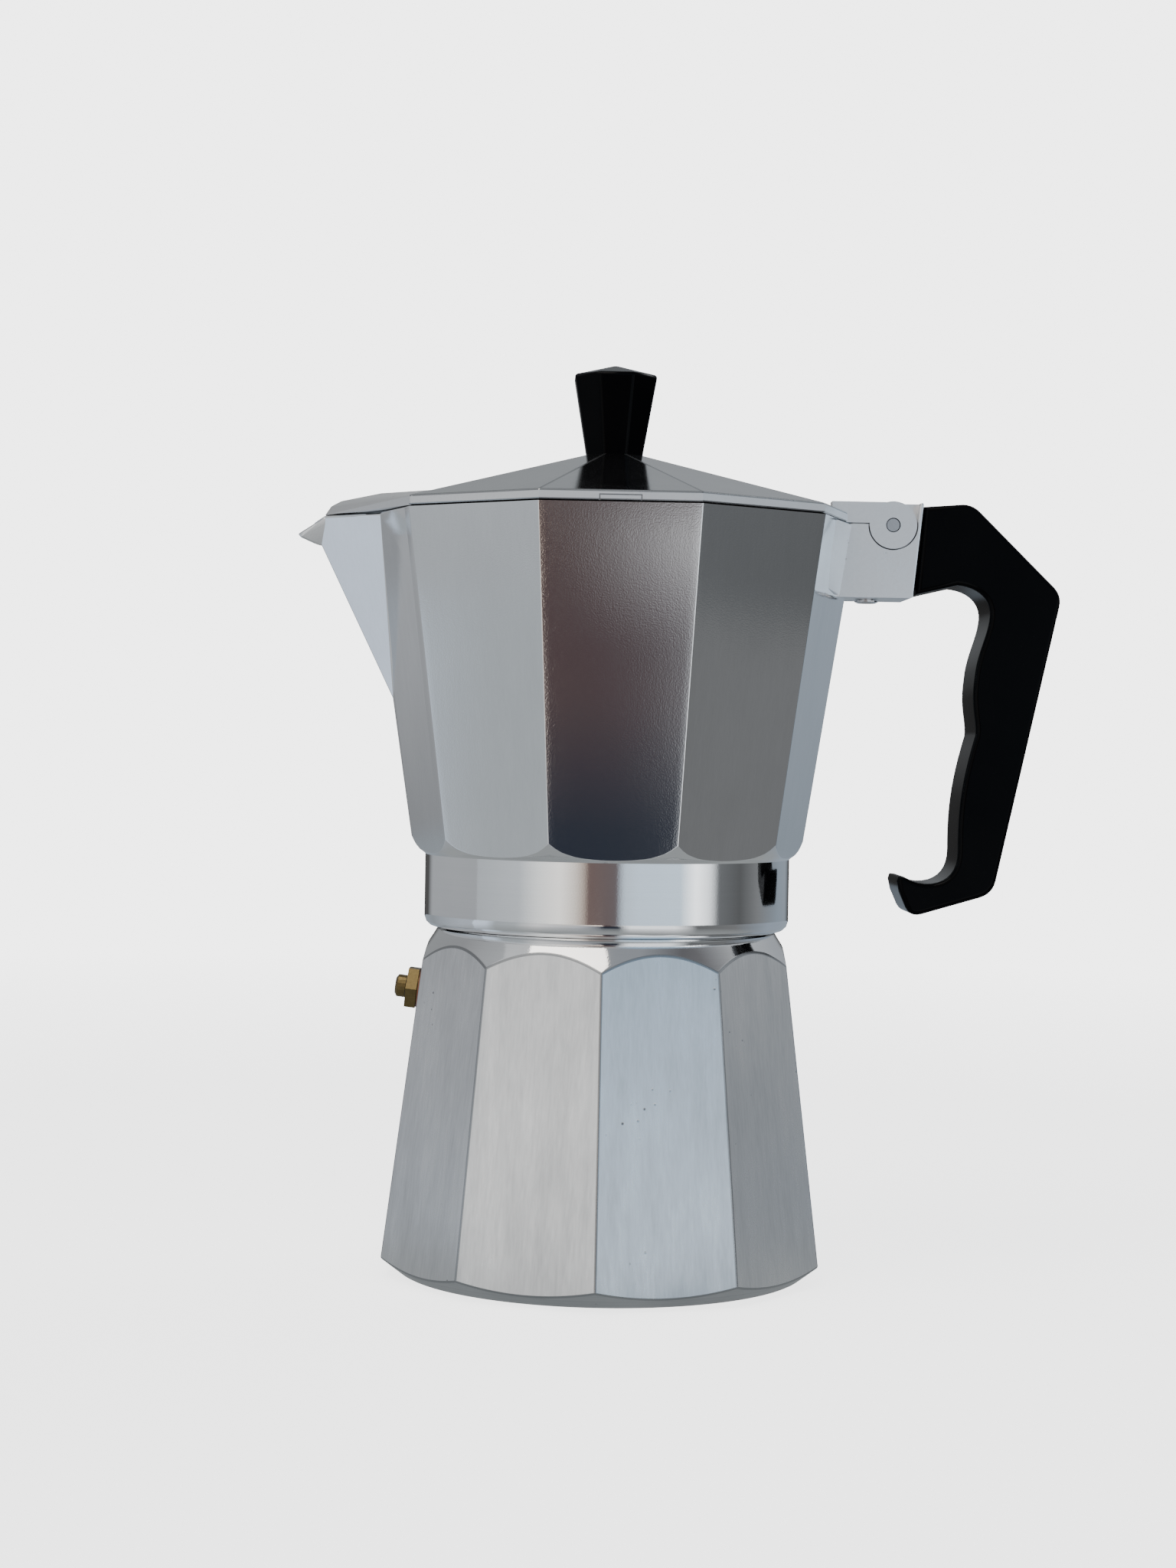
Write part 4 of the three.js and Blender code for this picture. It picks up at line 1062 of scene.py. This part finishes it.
bracket_cuts = [
    rod(knuckle + 0.3, (pin.x, side * (ear_inner - 0.3), pin.z), (pin.x, side * 14, pin.z), 64)
    for side in (-1, 1)
] + [
    pin_bore(),
    brick((socket_x, -6.3, socket_z), (pin.x + 20, 6.3, socket_z + 6.4)),
    rod(1.9, (screw_x, 0, bracket_foot - 1), (screw_x, 0, socket_z + 1), 24),
]
print("bracket stands on the rim from", round(bracket_foot, 1), "to", round(wall_top_z, 1), "mm")

# %% [markdown]
# ## Inside of the chamber
# The coffee rises through a hollow column in the middle of the cup. What is cut away is therefore the
# room round that column: spun like the outside, with its outer wall milled to the same ten flats.
# %% Room round the column, and the bores underneath
cup_wall = 2.4
wall_inset = cup_wall / FLAT
cone = 25.6
room_chain = [(0, column_top), (4.9, column_top), (6.2, column_top - 1.4), (8.3, cup_floor + 7.1),
              (9.5, cup_floor + 4.6), (cone + 1.4, cup_floor), (38, cup_floor), (40, cup_floor + 1.4),
              (50, rim + 4), (0, rim + 4)]
room_bm = spin_chain(room_chain)


def room_place(number, angle):
    height = {6: cup_floor, 7: cup_floor + 1.4, 8: rim + 4}[number]
    reach_out = flat_reach(angle, chamber_corner(height) - wall_inset)
    return (reach_out - 1.4 if number == 6 else reach_out), height


set_rings(room_bm, (6, 7, 8), room_place)
paint(room_bm, INSIDE)
plate_edge = high("filter_plate").x
bore_bm = paint(spin_chain([
    (0, collar_low - 1), (collar_bore, collar_low - 1), (collar_bore, gasket_top - 3.0),
    (33.5, gasket_top - 3.0), (33.5, seat), (plate_edge + 0.3, seat), (plate_edge + 0.3, seat + 1.1),
    (cone + 0.6, seat + 1.6), (5.2, cup_floor + 3.2), (3.9, column_top - 3), (0, column_top - 3),
], 96), INSIDE)
window = paint(brick((-12, -2, column_top - 7.6), (12, 2, column_top - 2.6)), INSIDE)
print("cup wall", cup_wall, "mm, column", round(column_top - cup_floor, 1), "mm tall")

# %% Join and cut the chamber
CAST = 5
spout_parts = [paint(b, WALL) for b in (wedge, flank(1), flank(-1), beak())]
bracket_parts = [paint(b, CAST) for b in (slab, knuckle_bar, heel, flare(1), flare(-1))]
outside = combine(cup_bm, spout_parts + bracket_parts, "UNION")
hollows = [room_bm, paint(spout_wedge(2.2, 4), INSIDE), bore_bm, window, paint(beak_slope, WALL),
           paint(beak_channel, INSIDE)]
chamber_bm = combine(outside, hollows + [paint(b, CAST) for b in bracket_cuts], "DIFFERENCE")
set_down(chamber_bm, "chamber_casting",
         [satin_wall, polished_turn, turned_foot, worn_edge, cast_inside, cast_skin],
         "chamber", ["collecting_chamber"], crease=28)

# %% [markdown]
# ## Lid
# The lid is a low ten-sided pyramid on an upright rim, cast thin, with a cover that reaches out over the
# spout and two ears that take the hinge pin.
# %% Lid
lid_low = rim + 0.3
band_top = lid_low + 2.1
lid_top = high("lid").z - 0.16
lid_corner = rim_corner - 0.25
lid_flat = 7.2  # radius of the small flat at the top
lid_wall = 1.7
lid_bm = spin_chain(
    [(0, lid_low), (lid_corner, lid_low), (lid_corner, band_top), (lid_flat, lid_top), (0, lid_top)], SIDES)
LID_FACE, LID_BAND, LID_EDGE, LID_INSIDE = range(4)
paint(lid_bm, LID_FACE)
for face in ring_faces(lid_bm, 1, 2):
    face.material_index = LID_BAND
soften(lid_bm, [e for e in creases(lid_bm, 4) if e.calc_length() > 30], 0.35, 2, LID_EDGE)


def lid_cover(inset, drop):
    upper = side_corner(rim)
    foot = lid_low - drop
    return hull_of([
        *both(-(cover_end - inset), 1.6 - inset * 0.3, foot),
        *both(-(cover_end - 1.3 - inset), 1.4 - inset * 0.3, lid_low + 2 - inset),
        *both(-(cover_end - 3.4 - inset), 0.8, lid_low + 3.2 - inset),
        (-(cover_end - 8.6 - inset), 0, lid_low + 4.4 - inset),
        (-(cover_end - 12.2 - inset), 0, lid_low + 5.2 - inset),
        (-(cover_end - 24), 0, lid_low + 6.2 - inset),
        *both(-(spout_root + 0.3 - inset), spout_half - inset, foot),
        *both(-(spout_root - inset), spout_half - inset, lid_low + 2.1 - inset),
        *both(-(upper.x - 0.4 - inset), upper.y - 0.4 - inset, foot),
        *both(-(upper.x - 0.4 - inset), upper.y - 0.4 - inset, lid_low + 2.1 - inset),
        *both(-20, 15, foot),
    ])


cover = lid_cover(0, 0)
cover = soften(cover, [e for e in creases(cover, 10) if min(v.co.z for v in e.verts) > lid_low + 0.5], 0.3, 2)
ears = []
for side in (-1, 1):
    ears.append(rod(knuckle, (pin.x, side * ear_inner, pin.z), (pin.x, side * bracket_half, pin.z), 64))
    arm = brick((rim_corner - 6.5, min(side * ear_inner, side * bracket_half), lid_low),
                (pin.x, max(side * ear_inner, side * bracket_half), pin.z + 5))
    ears.append(arm)
boss = rod(6.0, (0, 0, lid_top - 1), (0, 0, lid_top + 0.16), 96)
inset = lid_wall / FLAT
slope = (lid_top - band_top) / (lid_corner - lid_flat)
dome_top = lid_top - 2.6
dome_edge = lid_corner - inset
dome = spin_chain([(0, lid_low - 1), (dome_edge, lid_low - 1), (dome_edge, band_top - 0.6),
                   (dome_edge - (dome_top - band_top + 0.6) / slope, dome_top), (0, dome_top)], SIDES)
tab_back = lid_corner * FLAT
# The three thin grooves round the tab take the dark edge tone as painted shade, which draws the tab's
# outline.
tab_lines = ((-4.4, -4.15, lid_low - 1), (4.15, 4.4, lid_low - 1), (-4.4, 4.4, lid_low + 1.05))
tab_grooves = [brick((low_x, -rim_corner, low_z), (high_x, -(tab_back - 0.4), lid_low + 1.3))
               for low_x, high_x, low_z in tab_lines]
lid_parts = [paint(cover, LID_BAND), paint(boss, LID_EDGE)] + [paint(e, LID_BAND) for e in ears]
lid_bm = combine(lid_bm, lid_parts, "UNION")
lid_cuts = [paint(dome, LID_INSIDE), paint(lid_cover(lid_wall, 1), LID_INSIDE),
            rod(2.2, (0, 0, lid_top - 8), (0, 0, lid_top + 3), 32), pin_bore()]
lid_bm = combine(lid_bm, lid_cuts + [paint(g, LID_EDGE) for g in tab_grooves], "DIFFERENCE")
set_down(lid_bm, "lid_casting", [polished_lid, cast_skin, dark_edge, cast_inside],
         "lid", ["lid"], crease=20)

# %% [markdown]
# ## Knob
# The knob is an eight-sided plastic moulding that widens upwards to a low pointed cap.
# %% Knob
knob_low = lid_top + 0.05
knob_top = high("lid_knob").z
knob_shoulder = knob_top - 2.4
knob_sides = 8
knob_bm = spin_chain([(0, knob_low), (6.7, knob_low), (9.9, knob_shoulder), (0.5, knob_top), (0, knob_top)],
                     knob_sides)
half_side = Matrix.Rotation(math.pi / knob_sides, 3, "Z")
bmesh.ops.rotate(knob_bm, cent=(0, 0, 0), matrix=half_side, verts=knob_bm.verts)
cap_edges = [e for e in creases(knob_bm, 60) if min(v.co.z for v in e.verts) > knob_low + 1]
soften(knob_bm, cap_edges, 0.7, 4)
upright = [e for e in creases(knob_bm, 30) if 5 < e.calc_length() and e.verts[0].co.z != e.verts[1].co.z]
soften(knob_bm, upright, 0.5, 3)
bore = rod(3.8, (0, 0, knob_low - 1), (0, 0, knob_low + 11.3), 48)
knob_bm = combine(knob_bm, [bore], "DIFFERENCE")
set_down(knob_bm, "knob_moulding", [black_plastic], "lid", ["lid_knob"], crease=40)

# %% [markdown]
# ## Handle
# The handle is moulded in one piece. Its outline is drawn as straight runs and curves, filled, given its
# thickness, and rounded along both sides.
# %% Handle outline


def rim_point(x, z):
    return Vector((rim_corner + x, 0, rim + z))


def bend(start, pull_point, end, steps=6):
    """A round corner that is pulled towards one point."""
    start, pull_point, end = (rim_point(*p) for p in (start, pull_point, end))
    third = 2 / 3
    curve = interpolate_bezier(start, start.lerp(pull_point, third), end.lerp(pull_point, third), end, steps)
    return curve[1:]


def wave(start, leave, arrive, end, steps=12):
    """A run of the wavy grip between two points."""
    return interpolate_bezier(*(rim_point(*p) for p in (start, leave, arrive, end)), steps)[1:]


handle_line = [rim_point(13.85, 4.1), rim_point(22.4, 4.8)]
handle_line += bend((22.4, 4.8), (24.6, 4.8), (26.2, 3.2))
handle_line += [rim_point(42.8, -13.0)]
handle_line += bend((42.8, -13.0), (44.6, -14.9), (44.0, -17.4))
handle_line += [rim_point(31.2, -77.6)]
handle_line += bend((31.2, -77.6), (30.6, -80.6), (27.6, -81.5))
handle_line += [rim_point(14.9, -85.3)]
handle_line += bend((14.9, -85.3), (12.4, -86.0), (11.3, -83.8))
handle_line += [rim_point(9.8, -80.4)]
handle_line += bend((9.8, -80.4), (8.4, -76.0), (10.9, -77.1), 4)
handle_line += bend((10.9, -77.1), (14.8, -79.3), (18.4, -78.2))
handle_line += bend((18.4, -78.2), (22.6, -76.8), (22.6, -71.4), 8)
handle_line += wave((22.6, -71.4), (22.4, -62.0), (23.2, -55.6), (26.0, -45.8))
handle_line += wave((26.0, -45.8), (26.3, -42.4), (24.7, -39.6), (25.6, -33.0))
handle_line += wave((25.6, -33.0), (26.0, -27.6), (28.4, -24.0), (28.7, -19.6))
handle_line += wave((28.7, -19.6), (28.9, -15.6), (25.6, -13.3), (21.4, -13.0))
handle_line += [rim_point(12.35, -15.2)]
print("handle outline has", len(handle_line), "points")

# %% Handle
handle_bm = slab_of([(p.x, p.z) for p in handle_line], high("handle").y)
side_edges = [e for e in handle_bm.edges if abs(e.verts[0].co.y - e.verts[1].co.y) < 0.1]
soften(handle_bm, side_edges, 1.5, 4)
tenon_top = socket_z + 6.1
tenon = brick((socket_x + 0.3, -6, socket_z + 0.3), (bracket_end(bracket_foot) + 4, 6, tenon_top))
screw_room = rod(3.5, (screw_x, 0, socket_z - 2), (screw_x, 0, tenon_top - 1), 32)
handle_bm = combine(combine(handle_bm, [tenon], "UNION"), [screw_room], "DIFFERENCE")
set_down(handle_bm, "handle_moulding", [black_plastic], "chamber", ["handle"], crease=40)

# %% [markdown]
# ## Parts that keep their shape
# The small parts are already right: they only need their own metal, rubber or fibre. A finish is given
# to a part by filling the material slot of its object.
# %% Finishes for the small parts
small_parts = {
    brass: ["valve_body", "valve_seat", "valve_nut", "valve_stem", "knob_insert", "handle_insert"],
    steel: ["valve_spring", "knob_screw", "handle_screw", "hinge_pin"],
    spun_sheet: ["funnel", "funnel_sieve", "filter_plate"],
    silicone: ["gasket"],
    fibre: ["valve_washer"],
}
for finish, names in small_parts.items():
    for name in names:
        part = frame["nodes"][name].data
        part.materials.clear()
        part.materials.append(finish)
print("small parts finished:", sum(len(names) for names in small_parts.values()))
